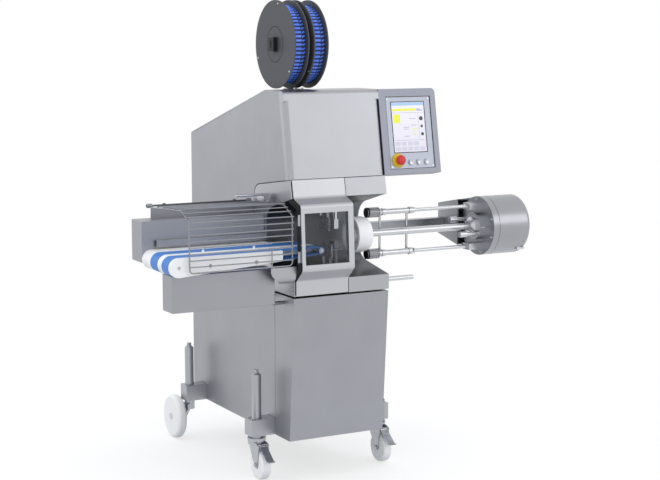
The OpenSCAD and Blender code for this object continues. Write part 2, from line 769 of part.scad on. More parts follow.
module reel(s) color("black") place() translate([reel_start(s), reel_y, reel_z]) rotate([0, 90, 0]) {
    groove_d = 150;
    hub_d = 90;
    difference() {
        union() {
            for (x = [0, reel_w - reel_disc_t]) translate([0, 0, x]) cylinder(h = reel_disc_t, d = reel_d, $fn = 128);
            cylinder(h = reel_w, d = hub_d);
        }
        translate([0, 0, -1]) cylinder(h = reel_w + 2, d = reel_axle_d + 2 * run_clear);
        for (x = [-1, reel_w - 1]) translate([0, 0, x]) difference() {
            cylinder(h = 2, d = groove_d);
            translate([0, 0, -1]) cylinder(h = 4, d = groove_d - 8);
        }
    }
}
module winding(s) color("royalblue") place() translate([reel_start(s) + reel_disc_t, reel_y, reel_z])
    rotate([0, 90, 0]) difference() {
        w = reel_w - 2 * reel_disc_t;
        cylinder(h = w, d = winding_d, $fn = 128);
        translate([0, 0, -1]) cylinder(h = w + 2, d = 90);
    }
module reel_left() reel(-1);
module reel_right() reel(1);
module clip_winding_left() winding(-1);
module clip_winding_right() winding(1);

// Discharge conveyor: rails, belts, rollers, and the boxes that carry them
function loop_arc(centre, r, from, to, steps = 24) = [for (i = [0 : steps])
    let (a = from + (to - from) * i / steps) centre + r * [cos(a), sin(a)]];
module loop_outline(grow) {
    low = 270 + 2 * loop_tilt;
    polygon(concat(loop_arc([nose_x, nose_z], nose_r + grow, 90, low),
        loop_arc([inner_x, inner_z], inner_r + grow, low - 360, 90)));
}
module shaft_holes(clear) {
    translate([nose_x, nose_z]) circle(d = roller_shaft_d + 2 * clear);
    translate([inner_x, inner_z]) circle(d = roller_shaft_d + 2 * clear);
    for (x = tie_rod_x) translate([x, nose_z]) circle(d = tie_rod_d);
}
module conveyor_rails() color("white") place() {
    along_y(-front_rail_w, 0) difference() {
        intersection() {
            loop_outline(0);
            translate([-2 * conveyor_end, 0]) square([2 * conveyor_end - front_rail_end, 2 * belt_z]);
        }
        shaft_holes(run_clear);
    }
    along_y(front_belt_w, rear_belt_y) difference() { loop_outline(0); shaft_holes(run_clear); }
    along_y(rear_rail_y, trough_y) difference() {
        intersection() {
            loop_outline(0);
            translate([-2 * conveyor_end, 0]) square([2 * conveyor_end - half_w - 4, 2 * belt_z]);
        }
        shaft_holes(run_clear);
    }
}
module belt(y, w) along_y(y, y + w) difference() { loop_outline(0); loop_outline(-belt_t); }
module conveyor_belts() color("royalblue") place() {
    belt(0, front_belt_w);
    belt(rear_belt_y, rear_belt_w);
}
module roller(x, z, r) {
    bar_y(-front_rail_w / 2, rear_rail_y + 20, x, z, roller_shaft_d);
    for (b = [[0, front_belt_w], [rear_belt_y, rear_belt_w]])
        bar_y(b[0] + face_gap, b[0] + b[1] - face_gap, x, z, 2 * (r - belt_t - face_gap));
}
module drive_roller() color("silver") place() roller(nose_x, nose_z, nose_r);
module idler_roller() color("silver") place() roller(inner_x, inner_z, inner_r);
module sheet_box(low, high, wall, drain) {
    difference() {
        block(low, high);
        block(low + [wall, wall, wall], high - [wall, wall, wall]);
        translate([(low[0] + high[0]) / 2, (low[1] + high[1]) / 2, low[2] - 1]) cylinder(h = wall + 2, d = drain);
    }
}
module conveyor_housing() color("darkgray") place() {
    box_low = [drive_box_inset - conveyor_end, drive_box_y, drive_box_z];
    box_high = box_low + [drive_box_l, drive_box_w, drive_box_h];
    arm_y = front_beam_y + 11;
    arm_w = 65;
    arm_z = drive_box_z + 5;
    arm_t = 2 * sheet;
    guide_z = [belt_z + guide_lift, belt_z + guide_lift + guide_h];
    sheet_box(box_low, box_high, sheet, 16);
    block([box_high[0] - 40, box_high[1], arm_z], [box_high[0], arm_y + arm_w, arm_z + arm_t]);
    block([box_high[0], arm_y, arm_z], [-half_w, arm_y + arm_w, arm_z + arm_t]);
    sheet_box([-conveyor_end, trough_y, trough_low], [-half_w, trough_y + trough_w, trough_high], sheet, 16);
    block([-cage_left + 5, trough_y + trough_w - 2 * sheet, trough_high],
        [-half_w, trough_y + trough_w - sheet, back_plate_top]);
    along_x(-cage_left - 19, -half_w) polygon(strip([[trough_y, guide_z[1]], [trough_y - guide_w, guide_z[1]],
        [trough_y - guide_w, guide_z[0]]], sheet));
    for (x = tie_rod_x) bar_y(-front_rail_w, trough_y, x, nose_z, tie_rod_d);
}

// Wire guard over the conveyor, hinged at the rear, with its lifting handle
module cage_wire(p) bar_x(-cage_left - 4, -cage_right + 4, p[0], p[1], wire_d);
module wire_guard() color("silver") place() {
    bend_gap = 2.2;
    face_top = hoop_line[1][1] - wire_d / 2;
    face = [0, face_top - cage_low];
    slope = cage_line[2] - cage_line[1];
    top = cage_line[3] - cage_line[2];
    barrel_d = 2 * hoop_d + wire_d + 1;
    for (x = [-cage_left, -cage_right]) {
        hoop_bar(x, hoop_line[0] - [0, 6], hoop_line[1], hoop_d, 0);
        hoop_bar(x, hoop_line[1], hoop_line[2], hoop_d, bend_gap);
        difference() {
            union() {
                hoop_bar(x, hoop_line[2], hoop_line[3], hoop_d, 0.1);
                bar_x(x - 12, x + 12, cage_hinge_y, cage_hinge_z, barrel_d);
            }
            bar_x(x - 20, x + 20, cage_hinge_y, cage_hinge_z, cage_pin_d + 2 * run_clear);
        }
    }
    for (i = [0 : face_wires - 1]) cage_wire(cage_line[0] + face * i / (face_wires - 1));
    for (t = [1, 2]) cage_wire(cage_line[1] + slope * t / 3);
    for (t = [0 : 4]) cage_wire(cage_line[2] + top * t * top_pitch);
}
module guard_handle() color("silver") place() {
    handle_y = 205;
    handle_z = cage_top_z + 22;
    seat_wire = cage_top_z + (cage_hinge_z - cage_top_z) * 3 * top_pitch;
    seat_z = seat_wire + wire_d / 2 + 0.1;
    bar_x(-cage_right - 140, -cage_right + 11, handle_y, handle_z, 11);
    block([-cage_right - 18, handle_y - 12, seat_z], [-cage_right + 6, handle_y + 50, handle_z]);
}

// Rod that stands out of the right side, and the beam that carries the brake drive
module side_rod() color("silver") place() bar_x(half_w, half_w + 130, 24, waist_z + 37, 20);
tail_x = [drum_x - 21, drum_x + 130];
module support_beam() color("silver") place()
    block([half_w, support_y, axis_z - support_drop],
        [tail_x[0], support_y + support_w, axis_z - support_drop + support_h]);

// Brake drive: a round drum on the product axis with a tail housing, and the filling inlet
module drive_drum() color("silver") place() {
    r = drum_d / 2;
    pipe_r = inlet_d / 2 - 3;
    groove = 2;
    difference() {
        turned(drum_x) difference() {
            union() {
                square([r - drum_round, drum_l]);
                square([r, drum_l - drum_round]);
                translate([r - drum_round, drum_l - drum_round]) circle(drum_round);
                square([inlet_d / 2, drum_l + inlet_l]);
                square([inlet_d / 2 + 12, drum_l + 12]);
            }
            translate([-500, -1]) square([500, 1000]);
            translate([-1, -1]) square([inlet_bore / 2 + 1, 1000]);
            translate([pipe_r, drum_wall]) square([r - drum_wall - drum_round - pipe_r, drum_l - 2 * drum_wall]);
            translate([pipe_r, drum_wall]) square([r - drum_wall - pipe_r, drum_l - drum_wall - drum_round]);
            translate([r - groove, 30]) square([groove + 1, groove]);
        }
        bar_z(axis_z - r - 1, axis_z - r + drum_wall + 1, drum_x + drum_l / 2, axis_y, 12);
    }
    tail = [[axis_y, axis_z + r], [tail_y, axis_z + tail_h / 2 + 6], [tail_y, axis_z - tail_h / 2 + 6],
        [axis_y, axis_z - r]];
    difference() {
        along_x(tail_x[0], tail_x[1]) polygon(tail);
        along_x(tail_x[0] + drum_wall, tail_x[1] - drum_wall) polygon(shifted(tail, -drum_wall));
        bar_x(tail_x[0] - 1, tail_x[1] + 1, axis_y, axis_z, drum_d + 0.1);
        block([tail_x[0] - 1, axis_y - 1, axis_z - drum_d], [drum_x + 1, axis_y + r, axis_z + drum_d]);
    }
}
module guide_rods() color("silver") place() for (s = [-1, 1]) {
    rod_z = axis_z + s * rod_offset;
    bar_x(rod_left, drum_x - 20, axis_y, rod_z, rod_d);
    block([drum_x - 60, axis_y - 25, rod_z - 14], [drum_x, axis_y + 25, rod_z + 14]);
}
module horn_tube() color("silver") place() difference() {
    union() {
        bar_x(brake_x + brake_l / 2, clamp_x, axis_y, axis_z, horn_d);
        turned(clamp_x - 30) polygon([[0, 0], [20, 0], [40, 18], [40, 30], [0, 30]]);
    }
    bar_x(0, drum_x, axis_y, axis_z, horn_d - 2 * horn_wall);
}
module horn_clamp() color("dimgray") place() difference() {
    union() {
        bar_x(clamp_x, drum_x, axis_y, axis_z, 119);
        for (a = [35, 215]) translate([0, axis_y, axis_z]) rotate([a, 0, 0]) {
            bar_x(clamp_x - 70, clamp_x + 1, 49, 0, 16);
            bar_x(clamp_x - 95, clamp_x - 60, 49, 0, 26);
        }
    }
    bar_x(clamp_x - 1, drum_x + 1, axis_y, axis_z, inlet_bore - 8);
    block([clamp_x - 1, axis_y - 61, axis_z - 2], [clamp_x + 12, axis_y - 48, axis_z + 2]);
}
module rod_carriage() color("silver") place() difference() {
    collar_w = 16;
    link_y = axis_y + 28;
    union() {
        for (s = [-1, 1]) {
            bar_x(sleeve_x, sleeve_x + sleeve_l, axis_y, axis_z + s * rod_offset, sleeve_d);
            bar_x(spigot_x, sleeve_x + 1, axis_y, axis_z + s * rod_offset, spigot_d);
            for (x = [sleeve_x + 25, sleeve_x + sleeve_l - 22]) {
                bar_x(x - collar_w / 2, x + collar_w / 2, axis_y, axis_z + s * rod_offset, sleeve_d + 6);
                block([x - 6, axis_y, axis_z + s * rod_offset - 6], [x + 6, link_y, axis_z + s * rod_offset + 6]);
            }
        }
        for (x = [sleeve_x + 25, sleeve_x + sleeve_l - 22])
            bar_z(axis_z - rod_offset - 6, axis_z + rod_offset + 6, x, link_y, 10);
    }
    for (s = [-1, 1])
        bar_x(spigot_x - 1, sleeve_x + sleeve_l + 1, axis_y, axis_z + s * rod_offset, rod_d + 2 * run_clear);
}
module fluted_knob(s) color("gray") place() translate([0, axis_y, axis_z + s * rod_offset]) difference() {
    flute_d = knob_d / 5;
    flute_r = knob_d / 2 + flute_d / 4;
    bar_x(sleeve_x - knob_l, sleeve_x - face_gap, 0, 0, knob_d);
    bar_x(sleeve_x - knob_l + knob_cap, sleeve_x, 0, 0, spigot_d + 2 * run_clear);
    for (i = [0 : knob_flutes - 1]) rotate([i * 360 / knob_flutes, 0, 0])
        bar_x(sleeve_x - knob_l + 2 * knob_cap, sleeve_x - knob_cap, 0, flute_r, flute_d);
}
module knob_upper() fluted_knob(1);
module knob_lower() fluted_knob(-1);

// Casing brake: a domed white ring round the horn, on a bracket from the throat's rear wall
module casing_brake() color("white") place() {
    r = brake_d / 2;
    turned(brake_x) difference() {
        union() {
            square([r, brake_l / 2]);
            intersection() {
                translate([0, brake_l / 2]) circle(r);
                square([r, brake_l]);
            }
        }
        translate([-500, -1]) square([500, 1000]);
        translate([-1, -1]) square([brake_bore / 2 + 1, 1000]);
        translate([brake_bore / 2 + brake_wall, -1]) square([r - brake_wall * 2 - brake_bore / 2, brake_l / 2]);
    }
    arm_low = axis_z + r - 24;
    arm_high = axis_z + r + 14;
    along_x(brake_x + 10, brake_x + brake_l / 2 - 6) intersection() {
        polygon([[axis_y + 40, axis_z + r - 12], [axis_y + 40, arm_high], [throat_wall_y, arm_high],
            [throat_wall_y, arm_low], [axis_y + r, arm_low]]);
        throat_void();
    }
}

// Clip tools: fixed die, punch and a pair of displacers that close on the product axis
module clip_die() color("dimgray") place() {
    holder_z = die_top - 40;
    holder_t = 8;
    foot = [axis_y - 25, axis_y + 25];
    along_x(die_x - 17, die_x + 17) polygon([[foot[0], floor_at(foot[0])], [foot[1], floor_at(foot[1])],
        [foot[1], floor_at(foot[1]) + 18], [foot[0], floor_at(foot[1]) + 18]]);
    bar_z(floor_at(foot[1]) + 17, holder_z + 1, die_x, axis_y, 24);
    block([die_x - 27, axis_y - 25, holder_z], [die_x + 22, axis_y + 25, holder_z + holder_t]);
    difference() {
        block([die_x - 12, axis_y - 18, holder_z + holder_t - 1], [die_x + 12, axis_y + 18, die_top]);
        bar_x(die_x - 13, die_x + 13, axis_y, die_top + 4, 24);
    }
}
module clip_punch() color("silver") place() {
    punch_z = axis_z + 32;
    block([die_x - 10, axis_y - 14, punch_z], [die_x + 10, axis_y + 14, punch_z + 40]);
    bar_z(punch_z + 39, head_z - 40, die_x, axis_y, 2 * tool_rod_d);
}
module displacer(s) color("silver") place() {
    x = s > 0 ? displacer_up_x : displacer_low_x;
    edge = axis_z + s * 27;
    far = edge + s * displacer_h;
    notch = displacer_w / 3;
    along_x(x, x + displacer_t) polygon([[axis_y - displacer_w / 2, edge], [axis_y - notch, edge],
        [axis_y, edge + s * notch], [axis_y + notch, edge], [axis_y + displacer_w / 2, edge],
        [axis_y + displacer_w / 2, far], [axis_y - displacer_w / 2, far]]);
    rod_end = s > 0 ? head_z - 30 : waist_z + 10;
    tool_rods(x + displacer_t / 2, min(far - s, rod_end), max(far - s, rod_end), tool_rod_d);
}
module displacer_upper() displacer(1);
module displacer_lower() displacer(-1);

// Main drive in the lower cabinet: gear motor, bearing pedestals and the cam shaft
module gear_motor() color("slategray") place() {
    pan = beam_top + sheet;
    gear_end = gear_y + gear_l;
    block([-gear_w / 2, gear_y, pan], [gear_w / 2, gear_end, pan + gear_h]);
    bar_y(gear_end, gear_end + motor_l, 0, pan + motor_lift, motor_d);
    bar_y(gear_end + motor_l, gear_end + motor_l + cowl_l, 0, pan + motor_lift, motor_d + 2 * cowl_t);
    for (x = [-pedestal_x, pedestal_x]) difference() {
        along_x(x - pedestal_t / 2, x + pedestal_t / 2) union() {
            polygon([[cam_y - pedestal_l / 2, pan], [cam_y + pedestal_l / 2, pan],
                [cam_y + pedestal_d / 2, cam_z], [cam_y - pedestal_d / 2, cam_z]]);
            translate([cam_y, cam_z]) circle(d = pedestal_d);
        }
        bar_x(x - pedestal_t, x + pedestal_t, cam_y, cam_z, cam_shaft_d + 2 * run_clear);
    }
}
module cam_shaft() color("silver") place() {
    bar_x(-cam_shaft_l / 2, cam_shaft_l / 2, cam_y, cam_z, cam_shaft_d);
    bar_x(-cam_w / 2, cam_w / 2, cam_y, cam_z, cam_d);
    bar_x(cam_w / 2, cam_w / 2 + crank_l, cam_y + crank_r, cam_z, crank_d);
    bar_x(-cam_w / 2 - crank_l, -cam_w / 2, cam_y - crank_r, cam_z, crank_d);
}

// Lower door: leaning face with side returns, hinge barrels and the handle peg
module lower_door() color("silver") place() {
    low = [door_bottom_y, cabinet_bottom];
    high = [door_top_y, door_top_z];
    flange_y = door_pin_y - 6;
    difference() {
        union() {
            along_x(-half_w, half_w) polygon(strip([low, high], -sheet));
            along_x(-half_w, -inner_w) polygon([low, high, [door_return_y, door_top_z],
                [door_return_y, cabinet_bottom]]);
            along_x(inner_w, half_w) polygon([low, high, [flange_y, door_top_z], [flange_y, cabinet_bottom]]);
            block([-inner_w, door_top_y + sheet, door_top_z - sheet], [inner_w, door_top_y + 36, door_top_z]);
            block([-inner_w, door_bottom_y + sheet - 1, cabinet_bottom],
                [inner_w, door_bottom_y + 32, cabinet_bottom + sheet]);
            for (b = door_barrels) {
                bar_z(b[0], b[1], door_pin_x, door_pin_y, door_barrel_d);
                block([inner_w, flange_y - 8, b[0]], [door_pin_x, flange_y, b[1]]);
            }
        }
        for (b = door_barrels) bar_z(b[0] - 1, b[1] + 1, door_pin_x, door_pin_y, door_pin_d + 2 * run_clear);
    }
    peg_y = 106;
    peg_z = waist_z - 38;
    bar_x(-half_w - peg_l, -half_w + 1, peg_y, peg_z, peg_d);
}

// Guard hood: one bent sheet with a window, a right cheek and two hinge barrels
module guard_hood() color("gainsboro") place() {
    leaf_x = hood_left + 7;
    difference() {
        along_x(hood_left, hood_right) polygon(strip(hood_path, sheet));
        block([hood_right - 25 - window_w, -200, window_low], [hood_right - 25, 0, window_low + window_h]);
    }
    along_x(hood_right - sheet, hood_right) polygon(concat(shifted(cheek_path, sheet / 2),
        [[band_setback + sheet - 2, throat_floor_z + 4], [band_setback - 3, throat_floor_z + 40],
        [throat_roof_y + 2, throat_roof_z - 40]]));
    difference() {
        for (b = hood_barrels) {
            bar_z(b[0], b[1], hood_pin_x, hood_pin_y, hood_barrel_d);
            block([hood_pin_x, hood_pin_y - 2, b[0]], [leaf_x, hood_pin_y + 2, b[1]]);
            along_x(leaf_x - 5, leaf_x) polygon([[hood_face_y(b[0]) + sheet / 2, b[0]], [hood_pin_y, b[0]],
                [hood_pin_y, b[1]], [hood_face_y(b[1]) + sheet / 2, b[1]]]);
        }
        for (b = hood_barrels) bar_z(b[0] - 1, b[1] + 1, hood_pin_x, hood_pin_y, hood_pin_d + 2 * run_clear);
    }
}
module hood_window() color("lightblue", 0.4) place() {
    margin = 8;
    a = [hood_line[2], hood_line[3]];
    inner = shifted(a, sheet);
    dir = unit(a[1] - a[0]);
    top = inner[0] + dir * ((inner[0][1] - window_low - window_h) / -dir[1] - margin);
    bottom = inner[0] + dir * ((inner[0][1] - window_low) / -dir[1] + margin);
    along_x(hood_right - 25 - window_w - margin, hood_right - 25 + margin)
        polygon(strip([top, bottom], window_t));
}

// Front casters: leg, swivel fork, wheel and brake pedal
module front_leg() {
    translate([leg_x, front_leg_y, 0]) {
        bar_z(160, front_tube_top - 70, 0, 0, post_d);
        bar_z(170, leg_stop, 0, 0, 52);
        bar_z(158, 171, 0, 0, 78);
        bar_z(134, 159, 0, 0, king_pin_d);
    }
}
module caster_fork() {
    arm_gap = caster_w / 2 + 2;
    arm_t = 4;
    y0 = -caster_trail;
    translate([leg_x, front_leg_y, 0]) {
        difference() {
            union() {
                bar_z(144, 157.5, 0, 0, 74);
                for (s = [-1, 1]) along_x(s * (arm_gap + arm_t / 2) - arm_t / 2, s * (arm_gap + arm_t / 2) + arm_t / 2)
                    polygon([[26, 146], [14, 157], [-44, 157], [pedal_pin_y - front_leg_y - 8, 148],
                        [pedal_pin_y - front_leg_y - 8, 132], [y0 - 14, caster_axle_z], [y0 - 8, caster_axle_z - 13],
                        [y0 + 8, caster_axle_z - 13], [y0 + 14, caster_axle_z]]);
            }
            bar_z(140, 160, 0, 0, king_pin_d + 2 * run_clear);
        }
        bar_x(-arm_gap - arm_t - 4, arm_gap + arm_t + 4, y0, caster_axle_z, caster_axle_d);
        bar_x(-arm_gap - arm_t, arm_gap + arm_t, pedal_pin_y - front_leg_y, pedal_pin_z, pedal_pin_d);
    }
}
module caster_wheel() {
    translate([leg_x, caster_axle_y, caster_axle_z]) rotate([0, 90, 0])
        rotate_extrude() wheel_section(caster_d, caster_w, caster_axle_d + 2 * run_clear, 8);
}
module caster_pedal() {
    barrel_d = 14;
    pedal_w = 34;
    tip = [-70, -49];
    translate([leg_x, pedal_pin_y, pedal_pin_z]) difference() {
        union() {
            bar_x(-pedal_w / 2, pedal_w / 2, 0, 0, barrel_d);
            along_x(-pedal_w / 2, pedal_w / 2) polygon(strip([[0, 2], tip, tip + [-14, 2]], -4));
        }
        bar_x(-pedal_w, pedal_w, 0, 0, pedal_pin_d + 2 * run_clear);
    }
}
module front_leg_left() color("silver") place() mirror([1, 0, 0]) front_leg();
module front_leg_right() color("silver") place() front_leg();
module caster_fork_left() color("silver") place() mirror([1, 0, 0]) caster_fork();
module caster_fork_right() color("silver") place() caster_fork();
module caster_wheel_left() color("white") place() mirror([1, 0, 0]) caster_wheel();
module caster_wheel_right() color("white") place() caster_wheel();
module caster_pedal_left() color("gray") place() mirror([1, 0, 0]) caster_pedal();
module caster_pedal_right() color("gray") place() caster_pedal();

// Rear wheels: leg with a one-sided bracket and stub axle, and the wheel
module rear_leg() {
    collar_z = 140;
    bar_z(collar_z, rear_tube_top - 70, leg_x, rear_leg_y, post_d);
    bar_z(collar_z, leg_stop, leg_x, rear_leg_y, 46);
    along_x(rear_plate_x - rear_plate_t / 2, rear_plate_x + rear_plate_t / 2)
        polygon([[rear_leg_y - 24, 165], [rear_leg_y - 24, 140], [rear_axle_y - 18, rear_axle_z - 15],
            [rear_axle_y + 18, rear_axle_z - 15], [rear_axle_y + 18, rear_axle_z + 20], [rear_leg_y + 30, 165]]);
    bar_x(rear_plate_x, rear_wheel_x + rear_wheel_w + 2, rear_axle_y, rear_axle_z, rear_axle_d);
    bar_x(rear_plate_x, rear_wheel_x - face_gap, rear_axle_y, rear_axle_z, rear_axle_d + 12);
}
module rear_wheel() {
    translate([rear_wheel_x + rear_wheel_w / 2, rear_axle_y, rear_axle_z]) rotate([0, 90, 0])
        rotate_extrude() wheel_section(rear_wheel_d, rear_wheel_w, rear_axle_d + 2 * run_clear, 16);
}
module rear_leg_left() color("silver") place() mirror([1, 0, 0]) rear_leg();
module rear_leg_right() color("silver") place() rear_leg();
module rear_wheel_left() color("white") place() mirror([1, 0, 0]) rear_wheel();
module rear_wheel_right() color("white") place() rear_wheel();

base_frame();
left_side_panel();
right_side_panel();
rear_panel();
head_cover();
clip_covers();
throat_liner();
hinge_pins();
hood_frame();
panel_housing();
panel_fascia();
touch_screen();
estop_collar();
reel_stand();
conveyor_rails();
conveyor_belts();
conveyor_housing();
side_rod();
support_beam();
drive_drum();
guide_rods();
horn_tube();
horn_clamp();
casing_brake();
clip_die();
gear_motor();
lower_door();
guard_hood();
hood_window();
estop_button();
start_button();
stop_button();
reset_button();
reel_left();
clip_winding_left();
reel_right();
clip_winding_right();
drive_roller();
idler_roller();
wire_guard();
guard_handle();
rod_carriage();
knob_upper();
knob_lower();
clip_punch();
displacer_upper();
displacer_lower();
cam_shaft();
front_leg_left();
front_leg_right();
caster_fork_left();
caster_fork_right();
caster_wheel_left();
caster_wheel_right();
caster_pedal_left();
caster_pedal_right();
rear_leg_left();
rear_leg_right();
rear_wheel_left();
rear_wheel_right();
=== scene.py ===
# %% [markdown]
# # A sausage clipper in stainless steel
# This lesson dresses a clipping machine whose solids are already made. The machine closes both ends of a
# sausage with metal clips: a narrow cabinet with an open throat, a belt conveyor on the left, a filling horn
# with a round drive on the right, and two reels of clips on the roof.
# The solids come as a fixed frame, so every new piece only has to find its place on them.

# %% Load the frame
import json
import math

import bmesh
import bpy
from mathutils import Matrix, Vector

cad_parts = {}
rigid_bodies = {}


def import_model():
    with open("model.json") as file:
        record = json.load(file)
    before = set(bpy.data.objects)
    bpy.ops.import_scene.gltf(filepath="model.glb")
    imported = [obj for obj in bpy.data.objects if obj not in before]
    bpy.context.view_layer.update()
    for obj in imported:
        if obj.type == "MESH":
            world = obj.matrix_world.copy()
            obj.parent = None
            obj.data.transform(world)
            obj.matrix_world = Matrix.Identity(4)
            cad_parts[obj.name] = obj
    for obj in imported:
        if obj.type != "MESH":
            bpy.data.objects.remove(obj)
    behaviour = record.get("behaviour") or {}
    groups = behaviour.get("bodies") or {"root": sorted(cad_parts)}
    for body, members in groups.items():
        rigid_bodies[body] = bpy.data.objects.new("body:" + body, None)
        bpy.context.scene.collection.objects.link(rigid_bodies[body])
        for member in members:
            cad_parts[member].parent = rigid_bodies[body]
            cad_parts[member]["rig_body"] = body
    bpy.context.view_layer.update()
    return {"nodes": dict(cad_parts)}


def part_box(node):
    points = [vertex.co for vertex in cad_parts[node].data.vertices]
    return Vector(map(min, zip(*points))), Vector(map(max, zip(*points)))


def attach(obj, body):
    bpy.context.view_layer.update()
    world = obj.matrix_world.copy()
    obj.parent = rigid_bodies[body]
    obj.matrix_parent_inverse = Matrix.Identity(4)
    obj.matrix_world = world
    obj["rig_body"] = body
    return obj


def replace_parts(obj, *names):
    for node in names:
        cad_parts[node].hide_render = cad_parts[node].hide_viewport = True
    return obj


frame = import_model()

# %% [markdown]
# ## One place for all pieces
# The machine was measured from the middle of its cabinet and from the front plane of its throat. Both can be
# read from the frame, so a point in those millimetres turns into a point of the scene in metres. The head
# leans back, and what sits on it is easier to place in a frame that leans with it.

# %% Places in millimetres
MM = 0.001
beam_low, beam_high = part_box("base_frame")
liner_low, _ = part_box("throat_liner")
MACHINE = Matrix.Translation(((beam_low.x + beam_high.x) / 2, liner_low.y, 0))


def at(x, y, z):
    """A point of the scene from millimetres right of the cabinet's middle, behind the front plane and up."""
    return MACHINE @ (Vector((x, y, z)) * MM)


HEAD_FOOT = (0, 37, 1270)
HEAD_LEAN = math.radians(9.9)
FACE = Matrix.Translation(at(*HEAD_FOOT)) @ Matrix.Rotation(-HEAD_LEAN, 4, "X")
print("cabinet middle", round(MACHINE.translation.x, 4), "front plane", round(MACHINE.translation.y, 4))

# %% [markdown]
# ## Camera
# The photograph was taken from the left front, a little above eye height and with a long lens, so upright
# edges stay nearly parallel. A camera could be aimed by eye, but the lens and the place were worked out from
# the edges of the cabinet, so that each piece can be compared with the photograph where it stands.

# %% Camera
PHOTO_WIDTH, FOCAL_LENGTH = 660, 1536  # pixels
SENSOR = 36.0  # millimetres
LOOK_DOWN, LOOK_RIGHT = 7.79, 28.53  # degrees
camera_data = bpy.data.cameras.new("photo_camera")
camera_data.sensor_width = SENSOR
camera_data.lens = SENSOR * FOCAL_LENGTH / PHOTO_WIDTH
camera_data.clip_end = 100
camera = bpy.data.objects.new("photo_camera", camera_data)
camera.location = at(-3030, -5465, 1870)
camera.rotation_euler = (math.radians(90 - LOOK_DOWN), 0, math.radians(-LOOK_RIGHT))
bpy.context.scene.collection.objects.link(camera)
bpy.context.scene.camera = camera
bpy.context.scene.view_settings.view_transform = "Standard"
print("camera at", [round(v, 3) for v in camera.location], "lens", round(camera_data.lens, 1))

# %% [markdown]
# ## Nodes in one line
# A material is a small graph. Written out line by line, it would be lost among assignments, so one function adds
# a node, sets its values and links it. Another turns a colour as it is written in sRGB hex into the linear
# numbers that the renderer works with.

# %% Node and colour helpers
def linear(hex_colour):
    """Linear RGBA of an sRGB hex colour."""
    parts = [int(hex_colour[i:i + 2], 16) / 255 for i in (1, 3, 5)]
    return [c / 12.92 if c <= 0.04045 else ((c + 0.055) / 1.055) ** 2.4 for c in parts] + [1.0]


def add(tree, kind, settings=None, links=None, **fields):
    """Adds a node: fields are its options, settings its socket values, links its incoming sockets."""
    node = tree.nodes.new(kind)
    for key, value in fields.items():
        setattr(node, key, value)
    for socket, value in (settings or {}).items():
        node.inputs[socket].default_value = value
    for socket, source in (links or {}).items():
        tree.links.new(source, node.inputs[socket])
    return node


def new_finish(name, settings):
    """A material with one Principled shader, and the Object coordinates that its patterns read."""
    material = bpy.data.materials.new(name)
    material.use_nodes = True
    tree = material.node_tree
    tree.nodes.clear()
    shader = add(tree, "ShaderNodeBsdfPrincipled", settings)
    add(tree, "ShaderNodeOutputMaterial", links={"Surface": shader.outputs["BSDF"]})
    place = add(tree, "ShaderNodeTexCoord").outputs["Object"]
    return material, tree, shader, place


print("helpers ready")

# %% [markdown]
# ## Floor
# The machine stands on the floor of a white studio. A curved backdrop could close the room, but a sheet that is
# larger than any view needs no curve.

# %% Floor sheet
FLOOR_REACH = 40  # metres
floor_mesh = bpy.data.meshes.new("floor")
bm = bmesh.new()
bmesh.ops.create_grid(bm, x_segments=1, y_segments=1, size=FLOOR_REACH)
bm.to_mesh(floor_mesh)
bm.free()
floor = bpy.data.objects.new("floor", floor_mesh)
bpy.context.scene.collection.objects.link(floor)
print("floor reaches", FLOOR_REACH, "m")

# %% [markdown]
# ## Floor finish
# To the camera the floor is nearly white and keeps a soft shadow near the wheels. Further out it fades to pure
# white, so no horizon shows. Metal and glass see that same floor. The light that it throws on dull pieces is that
# of a pale grey sheet, because a glowing floor would brighten them from below.

# %% Floor finish
def background_rays(tree):
    """A socket that is 1 for the rays that show the background: to the camera, in metal and through glass."""
    path = add(tree, "ShaderNodeLightPath").outputs
    clear = add(tree, "ShaderNodeMath", links={0: path["Is Camera Ray"], 1: path["Is Transmission Ray"]},
                operation="MAXIMUM")
    shown = add(tree, "ShaderNodeMath", links={0: clear.outputs[0], 1: path["Is Glossy Ray"]}, operation="MAXIMUM")
    return shown.outputs[0]


FADE_START, FADE_END = 0.7, 2.4  # metres from the middle of the floor
floor_finish, tree, shader, place = new_finish("studio_floor", {"Base Color": linear("#ffffff"), "Roughness": 0.9})
glow = add(tree, "ShaderNodeEmission", {"Color": (1, 1, 1, 1), "Strength": 1.0})
away = add(tree, "ShaderNodeVectorMath", links={0: place}, operation="LENGTH")
fade = add(tree, "ShaderNodeMapRange",
           {"From Min": FADE_START, "From Max": FADE_END, "To Min": 0.60, "To Max": 1.0},
           {"Value": away.outputs["Value"]}, interpolation_type="SMOOTHSTEP")
near = add(tree, "ShaderNodeMixShader", links={"Fac": fade.outputs[0], 1: shader.outputs[0], 2: glow.outputs[0]})
grey = add(tree, "ShaderNodeBsdfDiffuse", {"Color": linear("#c4c5c8")})
seen = add(tree, "ShaderNodeMixShader", links={"Fac": background_rays(tree), 1: grey.outputs[0], 2: near.outputs[0]})
tree.links.new(seen.outputs[0], tree.nodes["Material Output"].inputs["Surface"])
floor_mesh.materials.append(floor_finish)
print("floor finish", floor_finish.name)

# %% [markdown]
# ## Studio walls
# Satin steel shows its surroundings as soft tones, so the room matters as much as the lamps. The camera, the window
# and the reflections see plain white walls. The light that falls on dull pieces is a little brighter from above.
# Walls could be built of sheets, but the world behind everything does the same with nothing in the way.

